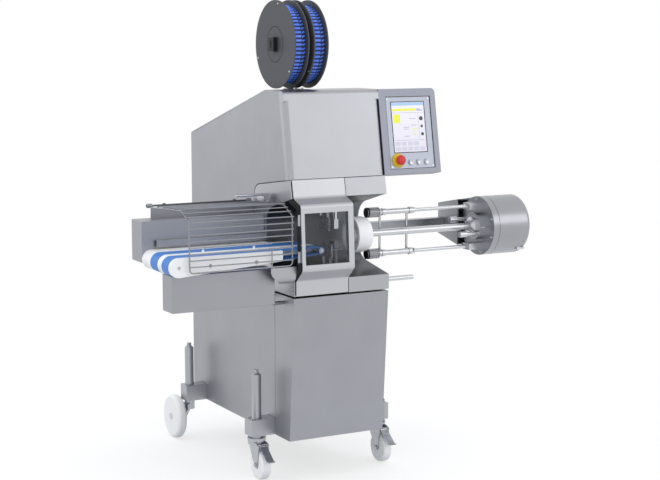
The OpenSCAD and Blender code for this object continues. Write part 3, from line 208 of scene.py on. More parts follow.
# %% Studio walls
world = bpy.data.worlds.new("studio")
bpy.context.scene.world = world
world.use_nodes = True
tree = world.node_tree
tree.nodes.clear()
sky = add(tree, "ShaderNodeSeparateXYZ", links={0: add(tree, "ShaderNodeTexCoord").outputs["Generated"]})
rise = add(tree, "ShaderNodeMapRange", {"From Min": -0.2, "From Max": 0.8, "To Min": 1.2, "To Max": 1.25},
           {"Value": sky.outputs["Z"]}, interpolation_type="SMOOTHSTEP")
room = add(tree, "ShaderNodeBackground", {"Color": linear("#f4f5f8")}, {"Strength": rise.outputs[0]})
white = add(tree, "ShaderNodeBackground", {"Color": (1, 1, 1, 1), "Strength": 1.0})
walls = add(tree, "ShaderNodeMixShader", links={"Fac": background_rays(tree), 1: room.outputs[0], 2: white.outputs[0]})
add(tree, "ShaderNodeOutputWorld", links={"Surface": walls.outputs[0]})
print("walls", world.name)

# %% [markdown]
# ## Lamps
# A large softbox at the right front is the key light. It hangs where the leaning head mirrors it, which makes the
# head the brightest sheet. A weaker one at the left rear gives the long side of the cabinet its gradient. Small
# lamps would draw hard streaks on satin steel, so both are wide.

# %% Lamps
def softbox(name, place, target, size, power):
    """A large square lamp that looks at a point."""
    data = bpy.data.lights.new(name, "AREA")
    data.size = size
    data.energy = power
    lamp = bpy.data.objects.new(name, data)
    lamp.location = place
    lamp.rotation_euler = (target - place).to_track_quat("-Z", "Y").to_euler()
    bpy.context.scene.collection.objects.link(lamp)
    print(name, power, "W")


middle = at(0, 300, 1000)
softbox("key_lamp", at(3700, -4700, 3200), middle, 2.8, 32)
softbox("left_lamp", at(-2900, 6000, 2400), middle, 2.8, 12)

# %% [markdown]
# ## Blasted steel
# The cabinet is stainless sheet blasted with fine glass beads. The tiny dents scatter the reflection, so it
# looks like a soft grey satin without streaks. One roughness would be enough for that, but it looks like plastic, so
# a slow cloud changes the tone over the width of a panel. The dents are about a tenth of a millimetre wide, and
# their grain is drawn coarser than it is, because it wouldn't show otherwise.

# %% Blasted steel
CLOUD, GRAIN = 0.160, 0.0016  # metres


def blasted_steel(name, dark, light, rough):
    """Satin metal: a slow change of tone, and a fine grain in the gloss and the surface."""
    material, tree, shader, place = new_finish(name, {"Metallic": 1.0})
    cloud = add(tree, "ShaderNodeTexNoise", {"Scale": 1 / CLOUD, "Detail": 3.0}, {"Vector": place})
    tone = add(tree, "ShaderNodeMix", {6: linear(dark), 7: linear(light)}, {0: cloud.outputs[0]}, data_type="RGBA")
    tree.links.new(tone.outputs[2], shader.inputs["Base Color"])
    grain = add(tree, "ShaderNodeTexNoise", {"Scale": 1 / GRAIN, "Detail": 2.0}, {"Vector": place})
    gloss = add(tree, "ShaderNodeMapRange", {"To Min": rough - 0.06, "To Max": rough + 0.06},
                {"Value": grain.outputs[0]})
    tree.links.new(gloss.outputs[0], shader.inputs["Roughness"])
    dents = add(tree, "ShaderNodeBump", {"Strength": 0.10, "Distance": 0.0003}, {"Height": grain.outputs[0]})
    tree.links.new(dents.outputs[0], shader.inputs["Normal"])
    return material


# Head and bands: blasted with fine beads, so the key light lies on them as a soft sheen
satin_steel = blasted_steel("bead_blasted_stainless", "#a9abb0", "#b2b4b9", 0.40)
# Cabinet and conveyor: coarser beads, a little duller; the darker tone than the head's steel is painted shade
shaded_cabinet_steel = blasted_steel("coarse_blasted_stainless_painted_shade", "#9b9da3", "#a5a7ad", 0.42)
# Drum and its beam: spun and only lightly blasted, so the room shows a little more clearly; their darker tone is
# painted shade
shaded_drum_steel = blasted_steel("spun_stainless_painted_shade", "#9c9ea3", "#a6a8ad", 0.30)
# Guard hood: blasted again after bending, the palest sheet of all
hood_steel = blasted_steel("fine_blasted_stainless", "#b9bbc0", "#c1c3c7", 0.40)
# Panel box: the same sheet with a bluish passivated skin
panel_steel = blasted_steel("passivated_stainless", "#8c8f9a", "#9598a3", 0.44)
# Throat: the same steel much darker, painted shade inside the recess
throat_shade_steel = blasted_steel("throat_stainless_painted_shade", "#5e6065", "#6c6e73", 0.40)
# Fascia: anodised aluminium, cooler in tone and flatter than steel
fascia_steel = blasted_steel("anodised_aluminium", "#afb3c0", "#b8bcc9", 0.50)
print("blasted finishes", 7)

# %% [markdown]
# ## Turned steel
# Rods and screws are turned on a lathe and shine more than sheet. The tool leaves rings across the axis, finer than
# a tenth of a millimetre and drawn about a millimetre apart. Most rods lie along X, so a noise that is squeezed
# along X stands for the rings, with no need to unwrap every rod.

# %% Turned steel
RINGS = (900, 120, 120)  # per metre: 1.1 mm along a rod, 8 mm round it
bright_steel, tree, shader, place = new_finish("turned_stainless", {"Base Color": linear("#c8cace"), "Metallic": 1.0})
rings = add(tree, "ShaderNodeMapping", {"Scale": RINGS}, {"Vector": place})
turning = add(tree, "ShaderNodeTexNoise", {"Scale": 1.0, "Detail": 2.0}, {"Vector": rings.outputs[0]})
gloss = add(tree, "ShaderNodeMapRange", {"To Min": 0.20, "To Max": 0.34}, {"Value": turning.outputs[0]})
tree.links.new(gloss.outputs[0], shader.inputs["Roughness"])
marks = add(tree, "ShaderNodeBump", {"Strength": 0.10, "Distance": 0.0002}, {"Height": turning.outputs[0]})
tree.links.new(marks.outputs[0], shader.inputs["Normal"])
print("turned finish", bright_steel.name)

# %% [markdown]
# ## Plated and burnished metal
# The casters are zinc plated, which gives soft bluish clouds. Tool steel is burnished dark, wire is drawn through a
# die, the knobs are milled, and the hidden drive wears a grey enamel with an orange-peel skin. Each could have a
# graph of its own, but they differ only in colour, gloss and the size of their clouds, so one function makes all.

# %% Plated and burnished metal
def clouded(name, dark, light, size, low_gloss, high_gloss, settings):
    """A finish whose tone, gloss and skin follow one noise of the given size in metres."""
    material, tree, shader, place = new_finish(name, settings)
    cloud = add(tree, "ShaderNodeTexNoise", {"Scale": 1 / size, "Detail": 4.0}, {"Vector": place})
    tone = add(tree, "ShaderNodeMix", {6: linear(dark), 7: linear(light)}, {0: cloud.outputs[0]}, data_type="RGBA")
    tree.links.new(tone.outputs[2], shader.inputs["Base Color"])
    gloss = add(tree, "ShaderNodeMapRange", {"To Min": low_gloss, "To Max": high_gloss}, {"Value": cloud.outputs[0]})
    tree.links.new(gloss.outputs[0], shader.inputs["Roughness"])
    relief = add(tree, "ShaderNodeBump", {"Strength": 0.12, "Distance": size * 0.05}, {"Height": cloud.outputs[0]})
    tree.links.new(relief.outputs[0], shader.inputs["Normal"])
    return material


zinc_steel = clouded("zinc_plated_steel", "#a2a4aa", "#c8cbd0", 0.012, 0.22, 0.40, {"Metallic": 1.0})
dark_steel = clouded("burnished_steel", "#55565b", "#707176", 0.018, 0.30, 0.46, {"Metallic": 1.0})
wire_steel = clouded("drawn_wire_steel", "#8f9196", "#a0a2a7", 0.006, 0.30, 0.42, {"Metallic": 1.0})
knob_steel = clouded("fluted_knob_steel", "#86878c", "#9d9ea3", 0.010, 0.28, 0.40, {"Metallic": 1.0})
machine_enamel = clouded("machine_enamel", "#59616a", "#666e78", 0.004, 0.36, 0.46, {})
print("plated and burnished finishes", 5)

# %% [markdown]
# ## Plastics
# Food machines use white polyethylene where product touches, because it is tough and easy to wash: waxy,
# with a fine milled skin and a little light inside. Handles and strips are black moulded plastic with a fine grain,
# the reel sides are dull grey board, and the emergency stop is smooth red and yellow polyamide. The function for
# clouded finishes serves here too, with a cloud as small as the grain of the mould.

# %% Plastics
white_plastic = clouded("milled_polyethylene", "#f0f2f4", "#fafafa", 0.006, 0.40, 0.52,
                        {"Subsurface Weight": 0.10, "Subsurface Scale": 0.004})
black_plastic = clouded("moulded_black_abs", "#141416", "#202023", 0.0022, 0.42, 0.58, {"Specular IOR Level": 0.25})
reel_board = clouded("pressed_reel_board", "#44464c", "#54565c", 0.006, 0.50, 0.66, {"Specular IOR Level": 0.40})
red_plastic = clouded("red_polyamide", "#c41f22", "#d4302e", 0.010, 0.26, 0.36, {})
yellow_plastic = clouded("yellow_polyamide", "#d4b21e", "#e4c32c", 0.010, 0.30, 0.40, {})
pedal_rubber = clouded("pedal_rubber", "#5b5d62", "#6c6e74", 0.003, 0.55, 0.70, {})
print("plastics", 6)

# %% [markdown]
# ## Belts
# The belts are blue, since no food is, so a torn-off shred is found at once. Their cover is woven. Single threads
# could be modelled, but they are under a millimetre wide. A wave across the belt draws them about three
# millimetres apart, as coarse as they need to be to show.

# %% Belts
THREADS = 0.019  # metres: the wave repeats about every third of this
belt_blue, tree, shader, place = new_finish("woven_polyurethane_belt", {"Roughness": 0.48})
threads = add(tree, "ShaderNodeTexWave", {"Scale": 1 / THREADS, "Distortion": 0.4}, {"Vector": place},
              bands_direction="Y")
tone = add(tree, "ShaderNodeMix", {6: linear("#3374c4"), 7: linear("#478cdc")}, {0: threads.outputs[1]},
           data_type="RGBA")
tree.links.new(tone.outputs[2], shader.inputs["Base Color"])
weave = add(tree, "ShaderNodeBump", {"Strength": 0.2, "Distance": 0.0004}, {"Height": threads.outputs[1]})
tree.links.new(weave.outputs[0], shader.inputs["Normal"])
print("belt finish", belt_blue.name)

# %% [markdown]
# ## Clips and window
# The clips are aluminium in blue lacquer, glossy and clear on top. The winding under them is dark navy, painted shade
# between the clips. The guard window is clear polycarbonate. It could be left perfectly smooth, but a pane that is
# wiped every day has faint marks in its gloss.

# %% Clips and window
clip_blue = clouded("lacquered_clips", "#2b5ce0", "#5a92ff", 0.008, 0.20, 0.32, {"Coat Weight": 0.4})
# Dark navy winding under the clips: painted shade between them
clip_gap_shade = clouded("clip_gaps_painted_shade", "#0c1536", "#16265c", 0.010, 0.50, 0.65, {})

WIPES = 0.030  # metres: the width of a wiping mark
# Clear polycarbonate has an IOR near 1.58. The pane in the photograph mirrors less, as a coated one does, so the
# value is lower.
window_clear, tree, shader, place = new_finish("coated_polycarbonate", {
    "Base Color": linear("#e4e8ec"), "IOR": 1.3, "Transmission Weight": 1.0})
wiping = add(tree, "ShaderNodeTexNoise", {"Scale": 1 / WIPES, "Detail": 6.0}, {"Vector": place})
gloss = add(tree, "ShaderNodeMapRange", {"From Min": 0.5, "To Min": 0.0, "To Max": 0.012},
            {"Value": wiping.outputs[0]})
tree.links.new(gloss.outputs[0], shader.inputs["Roughness"])
print("finishes", len(bpy.data.materials))

# %% [markdown]
# ## Pieces
# Every piece ends in the same steps: a mesh, its shading, a finish and a ride on one of the machine's bodies. They
# could be written out each time, but one helper keeps all pieces alike. Faces that meet at a shallow angle are shaded
# smooth, so rods look round while sharp edges stay sharp, and normals weighted by area keep large faces flat.

# %% Piece helper
def make_piece(bm, name, material, body, smooth_angle=30):
    """Turns a bmesh into a named piece that rides on a body."""
    mesh = bpy.data.meshes.new(name)
    bm.to_mesh(mesh)
    bm.free()
    mesh.polygons.foreach_set("use_smooth", [True] * len(mesh.polygons))
    mesh.set_sharp_from_angle(angle=math.radians(smooth_angle))
    mesh.materials.append(material)
    piece = bpy.data.objects.new(name, mesh)
    bpy.context.scene.collection.objects.link(piece)
    piece.modifiers.new("flat_faces", "WEIGHTED_NORMAL").keep_sharp = True
    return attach(piece, body)


print("piece helper ready")

# %% [markdown]
# ## Dressing the solids
# A solid arrives as loose triangles, so a copy of it is merged first. A narrow bevel on long edges then gives folded
# sheet its line of light. A live Bevel modifier would do much the same, but here the short edges of round holes have
# to stay out of it. The copy takes the node's place and rides on the same body.

# %% Skin helper
MERGE = 2e-6  # metres
FLAT, FOLD = math.radians(0.5), math.radians(40)


def skin(node, material, bevel=0.0, shortest=0.03):
    """A merged, smooth copy of a solid, with its long sharp edges bevelled."""
    solid = frame["nodes"][node]
    bm = bmesh.new()
    bm.from_mesh(solid.data)
    bmesh.ops.remove_doubles(bm, verts=bm.verts, dist=MERGE)
    bmesh.ops.dissolve_limit(bm, angle_limit=FLAT, verts=bm.verts, edges=bm.edges)
    if bevel:
        sharp = [e for e in bm.edges if e.is_manifold and e.calc_length() > shortest
                 and e.calc_face_angle() > FOLD]
        bmesh.ops.bevel(bm, geom=sharp, offset=bevel, offset_type="OFFSET", affect="EDGES", segments=2,
                        profile=0.5, material=-1, clamp_overlap=True)
    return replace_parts(make_piece(bm, node + "_skin", material, solid["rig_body"]), node)


print("skin helper ready")

# %% [markdown]
# ## Cabinet and beams
# The cabinet is folded from three-millimetre sheet. Folded edges are round by about half a millimetre, which
# is what catches the light. The beams and boxes are welded and ground, so their edges are a little rounder. Sheets
# could be modelled anew, but the solids have every fold already.

# %% Cabinet and beams
FOLDED, GROUND, FILED = 0.0006, 0.0015, 0.0004  # metres: how round such an edge is
# Sides, rear panel, door and conveyor housing get the blasted steel with painted shade in its darker tone
for node in ["left_side_panel", "right_side_panel", "rear_panel", "lower_door"]:
    skin(node, shaded_cabinet_steel, FOLDED)
for node in ["clip_covers", "head_cover"]:
    skin(node, satin_steel, FOLDED)
skin("conveyor_housing", shaded_cabinet_steel, GROUND)
# The beam gets the drum's darker steel, painted shade for the shadow it stands in
skin("support_beam", shaded_drum_steel, GROUND)
skin("base_frame", satin_steel, GROUND)
skin("drive_drum", shaded_drum_steel)
skin("guard_hood", hood_steel)
skin("panel_housing", panel_steel, GROUND)
skin("panel_fascia", fascia_steel, FILED)
print("sheet metal dressed")

# %% [markdown]
# ## Throat
# Inside the throat the liner's steel is much darker, painted shade in the recess, but the front bands of its liner are
# as bright as the head. The liner could be cut in two pieces. It is one bent sheet, so it stays one, and its faces
# choose between two finishes.

# %% Throat
BAND_DEPTH = 40
liner = skin("throat_liner", satin_steel, FOLDED)
liner.data.materials.append(throat_shade_steel)
# Faces deeper in the throat take the darker steel: painted shade
for face in liner.data.polygons:
    band = face.normal.y < -0.6 and face.center.y < at(0, BAND_DEPTH, 0).y
    face.material_index = 0 if band else 1
print("faces in painted shade", sum(face.material_index for face in liner.data.polygons))

# %% [markdown]
# ## Rods and tools
# Rods are bar stock, and tools are cut from it and ground. They could be spun and cut anew, but the solids already
# have their shape, so a smooth copy with the right finish is enough. Tools, brackets, knobs and the motor have
# straight edges, and those are bevelled.

# %% Rods and tools
CHAMFER, CAST, SHORT = 0.0006, 0.0010, 0.01  # metres: a cut and a cast edge, and the shortest that gets one
for node in ["side_rod", "guide_rods", "horn_tube", "horn_clamp", "rod_carriage", "guard_handle", "drive_roller",
             "idler_roller", "cam_shaft"]:
    skin(node, bright_steel)
for node in ["clip_punch", "displacer_upper", "displacer_lower"]:
    skin(node, bright_steel, CHAMFER, SHORT)
for node in ["hinge_pins", "reel_stand", "clip_die"]:
    skin(node, dark_steel, CHAMFER)
for node in ["knob_upper", "knob_lower"]:
    skin(node, knob_steel, FILED, SHORT)
skin("gear_motor", machine_enamel, CAST)
print("rods and tools dressed")

# %% [markdown]
# ## Casters, reels and belts
# The legs and forks are plated, the wheels and rails are white plastic, and the reels are board with a dark navy
# winding between their sides, painted shade between the clips. These too keep the shape of their solids, and only the
# flat parts get rounded edges.

# %% Casters, reels and belts
MILLED = 0.0010  # metres: how round a milled edge of plastic is
for side in ["left", "right"]:
    for node in ["front_leg_", "caster_fork_", "caster_pedal_", "rear_leg_"]:
        skin(node + side, zinc_steel, CHAMFER, SHORT)
    for node in ["caster_wheel_", "rear_wheel_"]:
        skin(node + side, white_plastic)
    skin("reel_" + side, reel_board)
    # The winding gets painted shade: the dark navy seen between the clips
    skin("clip_winding_" + side, clip_gap_shade)
for node in ["conveyor_rails", "casing_brake"]:
    skin(node, white_plastic, MILLED)
skin("conveyor_belts", belt_blue)
skin("hood_frame", black_plastic)
skin("hood_window", window_clear)

# %% [markdown]
# ## Turned shapes
# Small parts are either turned or cut from bar. A turned part is a profile spun round an axis. A stock cylinder would
# leave its ends sharp, while a profile also draws the chamfer and the dish. Each shape is made in a mesh of its
# own and then joined to others, so many screws can share one piece.

# %% Turned shapes
def join(bm, part, place):
    """Sets a finished part in place, turns its faces outwards and adds it to a mesh."""
    bmesh.ops.transform(part, matrix=place, verts=part.verts)
    bmesh.ops.recalc_face_normals(part, faces=part.faces)
    carrier = bpy.data.meshes.new("carrier")
    part.to_mesh(carrier)
    part.free()
    bm.from_mesh(carrier)
    bpy.data.meshes.remove(carrier)


def lathe(bm, profile, place, steps=40):
    """Spins a profile of (radius, height) in millimetres about Z and sets it in place."""
    part = bmesh.new()
    verts = [part.verts.new((r * MM, 0, h * MM)) for r, h in profile]
    edges = [part.edges.new(pair) for pair in zip(verts, verts[1:])]
    bmesh.ops.spin(part, geom=verts + edges, cent=(0, 0, 0), axis=(0, 0, 1), angle=2 * math.pi, steps=steps,
                   use_merge=True)
    bmesh.ops.remove_doubles(part, verts=part.verts, dist=1e-7)
    join(bm, part, place)


print("lathe ready")

# %% [markdown]
# ## Cut shapes and their places
# A cut part is a box with bevelled edges, since a saw and a file leave no edge quite sharp. To set a screw or a cap on
# a surface, one more helper turns the Z axis of its place to look out of that surface.

# %% Cut shapes and places
def block(bm, low, high, bevel, place=MACHINE, segments=2):
    """A box between two corners in millimetres, with bevelled edges."""
    part = bmesh.new()
    bmesh.ops.create_cube(part, size=1)
    low, high = Vector(low) * MM, Vector(high) * MM
    bmesh.ops.scale(part, vec=high - low, verts=part.verts)
    bmesh.ops.translate(part, vec=(low + high) / 2, verts=part.verts)
    bmesh.ops.bevel(part, geom=part.edges[:], offset=bevel * MM, offset_type="OFFSET", affect="EDGES",
                    segments=segments, profile=0.5, material=-1)
    join(bm, part, place)


def facing(x, y, z, direction, base=MACHINE):
    """A place in millimetres whose Z axis looks along a direction."""
    turn = Vector(direction).to_track_quat("Z", "Y").to_matrix().to_4x4()
    return base @ Matrix.Translation(Vector((x, y, z)) * MM) @ turn


print("block and places ready")

# %% [markdown]
# ## Bent rods
# A bent rod is a circle that is pushed along straight runs and spun round each bend. A curve with a bevel would do
# it too, but it pinches the rod where the bend is tight. The helper keeps the last ring of edges: a run extrudes
# that ring, and a bend spins it about a centre on the inside of the turn.

# %% Bent rod helper
def bent_rod(bm, points, radius, bend, place=MACHINE, sides=12, steps=6):
    """A round rod along straight runs between points in millimetres, bent at each corner."""
    part = bmesh.new()
    points = [Vector(p) * MM for p in points]
    run = (points[1] - points[0]).normalized()
    start = Matrix.Translation(points[0]) @ run.to_track_quat("Z", "Y").to_matrix().to_4x4()
    bmesh.ops.create_circle(part, cap_ends=False, segments=sides, radius=radius * MM, matrix=start)
    ring = part.edges[:]
    ends = [ring]

    def push(ring, move):
        """Extrudes the ring and gives its new end."""
        made = bmesh.ops.extrude_edge_only(part, edges=ring)["geom"]
        verts = {g for g in made if isinstance(g, bmesh.types.BMVert)}
        bmesh.ops.translate(part, vec=move, verts=list(verts))
        return [g for g in made if isinstance(g, bmesh.types.BMEdge) and verts.issuperset(g.verts)]

    here = points[0]
    for corner, after in zip(points[1:-1], points[2:]):
        turned = (after - corner).normalized()
        angle = run.angle(turned)
        reach = bend * MM * math.tan(angle / 2)
        ring = push(ring, corner - run * reach - here)
        axis = run.cross(turned).normalized()
        centre = corner - run * reach + axis.cross(run) * bend * MM
        verts = list({v for e in ring for v in e.verts})
        made = bmesh.ops.spin(part, geom=verts + ring, cent=centre, axis=axis, angle=angle, steps=steps)["geom_last"]
        ring = [g for g in made if isinstance(g, bmesh.types.BMEdge)]
        here = corner + turned * reach
        run = turned
    ends.append(push(ring, points[-1] - here))
    for ring in ends:
        bmesh.ops.edgeloop_fill(part, edges=ring)
    join(bm, part, place)


print("rod helper ready")

# %% [markdown]
# ## Wire guard
# The guard keeps hands off the belts. It is one frame rod, bent from hinge to hinge round the front face, with
# thinner wires welded across it and a barrel on each end. It could be made of curves, but bent and straight
# rods of one helper keep all the round sections alike.

# %% Wire guard
GUARD_ENDS, WIRE_ENDS = (-695, -247), (-699, -243)
GUARD_FOOT, GUARD_HINGE = 931, (380, 1156)
FRAME_ROD, WIRE = 3.0, 2.5  # radii
frame_line = [(374, 1150.8), (43.2, 1169.4), (-29.5, 1132.6), (-29.5, GUARD_FOOT)]
bm = bmesh.new()
left_half = [(GUARD_ENDS[0], y, z) for y, z in frame_line]
right_half = [(GUARD_ENDS[1], y, z) for y, z in reversed(frame_line)]
bent_rod(bm, left_half + right_half, FRAME_ROD, 16)
# Eight wires on the upright face, two on the slope and five on the top
wires = [(-35, GUARD_FOOT + 199.1 * i / 8) for i in range(1, 9)]
wires += [(-35 + 77 * i / 3, 1136 + 39 * i / 3) for i in (1, 2)]
wires += [(42 + 338 * i, 1175 - 19 * i) for i in (0, 0.18, 0.36, 0.54, 0.72)]
for y, z in wires:
    bent_rod(bm, [(x, y, z) for x in WIRE_ENDS], WIRE, 0, sides=10)
bent_rod(bm, [(-338, -29.5, GUARD_FOOT), (-338, -29.5, 1008)], WIRE, 0, sides=10)
for x in GUARD_ENDS:
    barrel = [(4.05, -12), (8.4, -12), (9, -11.4), (9, 11.4), (8.4, 12), (4.05, 12), (4.05, -12)]
    lathe(bm, barrel, facing(x, *GUARD_HINGE, (1, 0, 0)), 32)
guard = make_piece(bm, "wire_guard_rods", wire_steel, "cage")
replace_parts(guard, "wire_guard")
print("guard wires", len(wires))

# %% [markdown]
# ## Clips on the reels
# A reel carries a strip of clips over a dark navy winding, which is painted shade between them. From the front one sees
# the clips side by side: a wide bar and, beside it, a slanted leg. A picture on the winding would stay flat, so one
# clip is modelled as two bevelled bars, and a spin that copies instead of joining sets it round the reel.

# %% Clips on the reels
REEL_Y, REEL_Z = 235, 1811
TAPE_RADIUS, CLIPS = 158, 60
reel_axis = at(0, REEL_Y, REEL_Z)
for side, start in (("left", -184), ("right", -96)):
    bm = bmesh.new()
    foot = REEL_Z + TAPE_RADIUS
    block(bm, (start + 3, REEL_Y - 4.8, foot), (start + 36, REEL_Y + 4.8, foot + 4), 1.2, segments=1)
    slant = MACHINE @ Matrix.Translation(Vector((start + 46, REEL_Y, REEL_Z)) * MM) @ Matrix.Rotation(0.35, 4, "Z")
    block(bm, (-7.5, -3.4, TAPE_RADIUS), (7.5, 3.4, TAPE_RADIUS + 3), 1.0, slant, segments=1)
    clip = bm.verts[:] + bm.edges[:] + bm.faces[:]
    bmesh.ops.spin(bm, geom=clip, cent=reel_axis, axis=(1, 0, 0), angle=2 * math.pi * (CLIPS - 1) / CLIPS,
                   steps=CLIPS - 1, use_duplicate=True)
    strip = make_piece(bm, "clip_strip_" + side, clip_blue, "reel_" + side[0])
    print(strip.name, CLIPS, "clips")

# %% [markdown]
# ## Reel fittings
# Each reel side is riveted near its rim, and the axle ends in a square black block that a hand can grip. The
# block's cover is a bevelled box with a raised bar, the rivets are turned buttons, and a black ring seals the hub.

# %% Reel fittings
RIVETS = 168  # radius
for side, faces in (("left", (-189, -123)), ("right", (-101, -35))):
    bm = bmesh.new()
    for x, out in zip(faces, (-1, 1)):
        for i in range(3):
            angle = math.radians(100 + 120 * i)
            y, z = REEL_Y + RIVETS * math.cos(angle), REEL_Z + RIVETS * math.sin(angle)
            lathe(bm, [(4.5, 0), (4.2, 1.0), (2.6, 1.8), (0, 2.0)], facing(x, y, z, (out, 0, 0)), 16)
    make_piece(bm, "reel_rivets_" + side, bright_steel, "reel_" + side[0])
bm = bmesh.new()
block(bm, (-209.6, REEL_Y - 24.6, REEL_Z - 29.6), (-191.2, REEL_Y + 24.6, REEL_Z + 29.6), 3.0)
block(bm, (-211.4, REEL_Y - 4, REEL_Z - 16), (-208, REEL_Y + 4, REEL_Z + 16), 1.0)
make_piece(bm, "reel_grip", black_plastic, "machine")
bm = bmesh.new()
lathe(bm, [(71.2, -1.4), (71.2, 0.2), (74.8, 0.2), (74.8, -1.4)], facing(-189, REEL_Y, REEL_Z, (-1, 0, 0)), 64)
make_piece(bm, "reel_seal", black_plastic, "reel_l")
print("reel fittings ready")

# %% [markdown]
# ## Screen
# The operator's screen shows a plain page of its own: a blue bar, a yellow line with a yellow field, rows of
# fields and round symbols, and keys at the bottom. An image could hold it, but thin fields of plain colour stay sharp
# at any size. Each colour is one sheet of them over the glass, and a little glow makes the page look lit.

# %% Screen finishes
PAGE_LOW, PAGE_HIGH = 1.36, 1.57  # metres


def lit(name, low, high, glow):
    """A lit colour that fades upwards over the height of the screen."""
    material, tree, shader, place = new_finish(name, {"Roughness": 0.25, "Emission Strength": glow})
    height = add(tree, "ShaderNodeSeparateXYZ", links={0: place})
    up = add(tree, "ShaderNodeMapRange", {"From Min": PAGE_LOW, "From Max": PAGE_HIGH}, {"Value": height.outputs["Z"]})
    tone = add(tree, "ShaderNodeMix", {6: linear(low), 7: linear(high)}, {0: up.outputs[0]}, data_type="RGBA")
    tree.links.new(tone.outputs[2], shader.inputs["Base Color"])
    tree.links.new(tone.outputs[2], shader.inputs["Emission Color"])
    return material


page_white = lit("screen_page", "#d2d0da", "#dfdde6", 0.22)
page_blue = lit("screen_blue", "#bccce6", "#9abce6", 0.20)
page_yellow = lit("screen_yellow", "#d8dc30", "#e0e048", 0.20)
page_pale = lit("screen_keys", "#bebbca", "#c8c5d4", 0.25)
page_grey = lit("screen_grey", "#8e8c9a", "#a4a2b0", 0.10)
page_dark = lit("screen_dark", "#2c2b33", "#3a3944", 0.0)
skin("touch_screen", page_white)
print("screen colours", 6)

# %% [markdown]
# The fields are laid out on the leaning face in millimetres from the screen's lower left corner. They could be cut
# into the glass, but a sheet that lies a third of a millimetre proud needs no cutting and can't flicker with it.

# %% Screen fields
SCREEN = FACE @ Matrix.Translation(Vector((281, 3.5, 92)) * MM)


def fields(name, material, boxes, lift):
    """A sheet of flat fields on the screen, each given by its left, bottom, right and top edge."""
    bm = bmesh.new()
    for left, bottom, right, top in boxes:
        block(bm, (left, -lift, bottom), (right, 0.2, top), 0.12, SCREEN)
    make_piece(bm, name, material, "machine")
    print(name, len(boxes), "fields")


fields("screen_bar", page_blue, [(2, 197, 158, 209)], 0.3)
fields("screen_line", page_yellow, [(4, 174, 118, 184), (8, 124, 40, 160), (96, 96, 124, 99), (100, 74, 116, 77)], 0.4)
keys = [(8 + 30 * i, 6, 32 + 30 * i, 22) for i in range(5)] + [(8 + 30 * i, 28, 32 + 30 * i, 44) for i in range(4)]
fields("screen_keys", page_pale, keys, 0.3)
rows = [(122, 174, 152, 178), (122, 180, 140, 183), (84, 140, 116, 142), (52, 104, 82, 106), (52, 96, 78, 98),
        (56, 66, 80, 68), (92, 112, 118, 114), (4, 166, 156, 167), (4, 50, 156, 51), (128, 54, 129, 164)]
fields("screen_rows", page_grey, rows, 0.35)
bm = bmesh.new()
for x, z, r in ((142, 141, 9), (143, 108, 6), (144, 75, 7)):
    lathe(bm, [(r, -0.2), (r, 0.3), (r - 0.3, 0.4), (0, 0.4)], facing(x, 0, z, (0, -1, 0), SCREEN), 24)
make_piece(bm, "screen_symbols", page_dark, "machine")
print("screen ready")

# %% [markdown]
# ## Panel edge
# Around the recess and the screen runs a dark gasket that keeps washing water out, and four small screws hold the
# fascia. The gasket could be inset from the fascia's faces, but four strips also work where those are split.

# %% Panel edge
def border(bm, left, low, right, high, width, front, back):
    """A frame of four strips inside the given edges, on the leaning face."""
    for a, b in (((left, low), (right, low + width)), ((left, high - width), (right, high)),
                 ((left, low + width), (left + width, high - width)),
                 ((right - width, low + width), (right, high - width))):
        block(bm, (a[0], front, a[1]), (b[0], back, b[1]), 0.3, FACE)


RECESS = (254, 21.5, 474, 327.5)  # left, low, right and high edge
SCREEN_EDGE = (278, 89, 444, 306)
INSET = 10
bm = bmesh.new()
border(bm, *RECESS, 2.0, 1.0, 3.2)
border(bm, *SCREEN_EDGE, 3.0, 2.2, 3.4)
make_piece(bm, "panel_gaskets", black_plastic, "machine")
bm = bmesh.new()
for x in (RECESS[0] + INSET, RECESS[2] - INSET):
    for z in (RECESS[1] + INSET, RECESS[3] - INSET):
        head = [(4, -0.2), (4, 0.6), (3.4, 1.2), (1.6, 1.2), (1.6, 0.3), (0, 0.3)]
        lathe(bm, head, facing(x, 3, z, (0, -1, 0), FACE), 20)
make_piece(bm, "fascia_screws", bright_steel, "machine")
print("panel edge ready")

# %% [markdown]
# ## Buttons
# The emergency stop is a red mushroom on a yellow collar; its rim is rounded so that a palm can slap it. The
# three push buttons are metal caps with a shallow dish. All are turned, so each is one spun profile, which takes the
# place of a simpler solid.

# %% Buttons
STOP = facing(296, 0, 58, (0, -1, 0), FACE)
FIRST_BUTTON, BUTTON_STEP, BUTTON_Z = 356, 39, 48
bm = bmesh.new()
lathe(bm, [(0, 28.3), (10, 28.0), (16, 26.4), (19.6, 23.4), (21, 19.6), (20.6, 16.0), (18.6, 13.0), (16, 11.2),
           (10.4, 10.8), (10.4, -18), (0, -18)], STOP, 64)
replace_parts(make_piece(bm, "stop_mushroom", red_plastic, "estop", 50), "estop_button")
bm = bmesh.new()
lathe(bm, [(11.0, -2.8), (11.0, 4), (13, 4), (26, 3.4), (29, 2.2), (30, 0.2), (30, -2.8), (11.0, -2.8)], STOP, 64)
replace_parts(make_piece(bm, "stop_collar", yellow_plastic, "machine"), "estop_collar")
for i, name in enumerate(("start", "stop", "reset")):
    bm = bmesh.new()
    cap = [(0, 2.4), (5.5, 2.6), (7.6, 3.5), (9.0, 3.5), (9.5, 3.0), (9.5, -0.5), (6.5, -0.5), (6.5, -18), (0, -18)]
    lathe(bm, cap, facing(FIRST_BUTTON + BUTTON_STEP * i, 0, BUTTON_Z, (0, -1, 0), FACE), 48)
    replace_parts(make_piece(bm, name + "_cap", bright_steel, "button_" + name), name + "_button")
print("buttons ready")

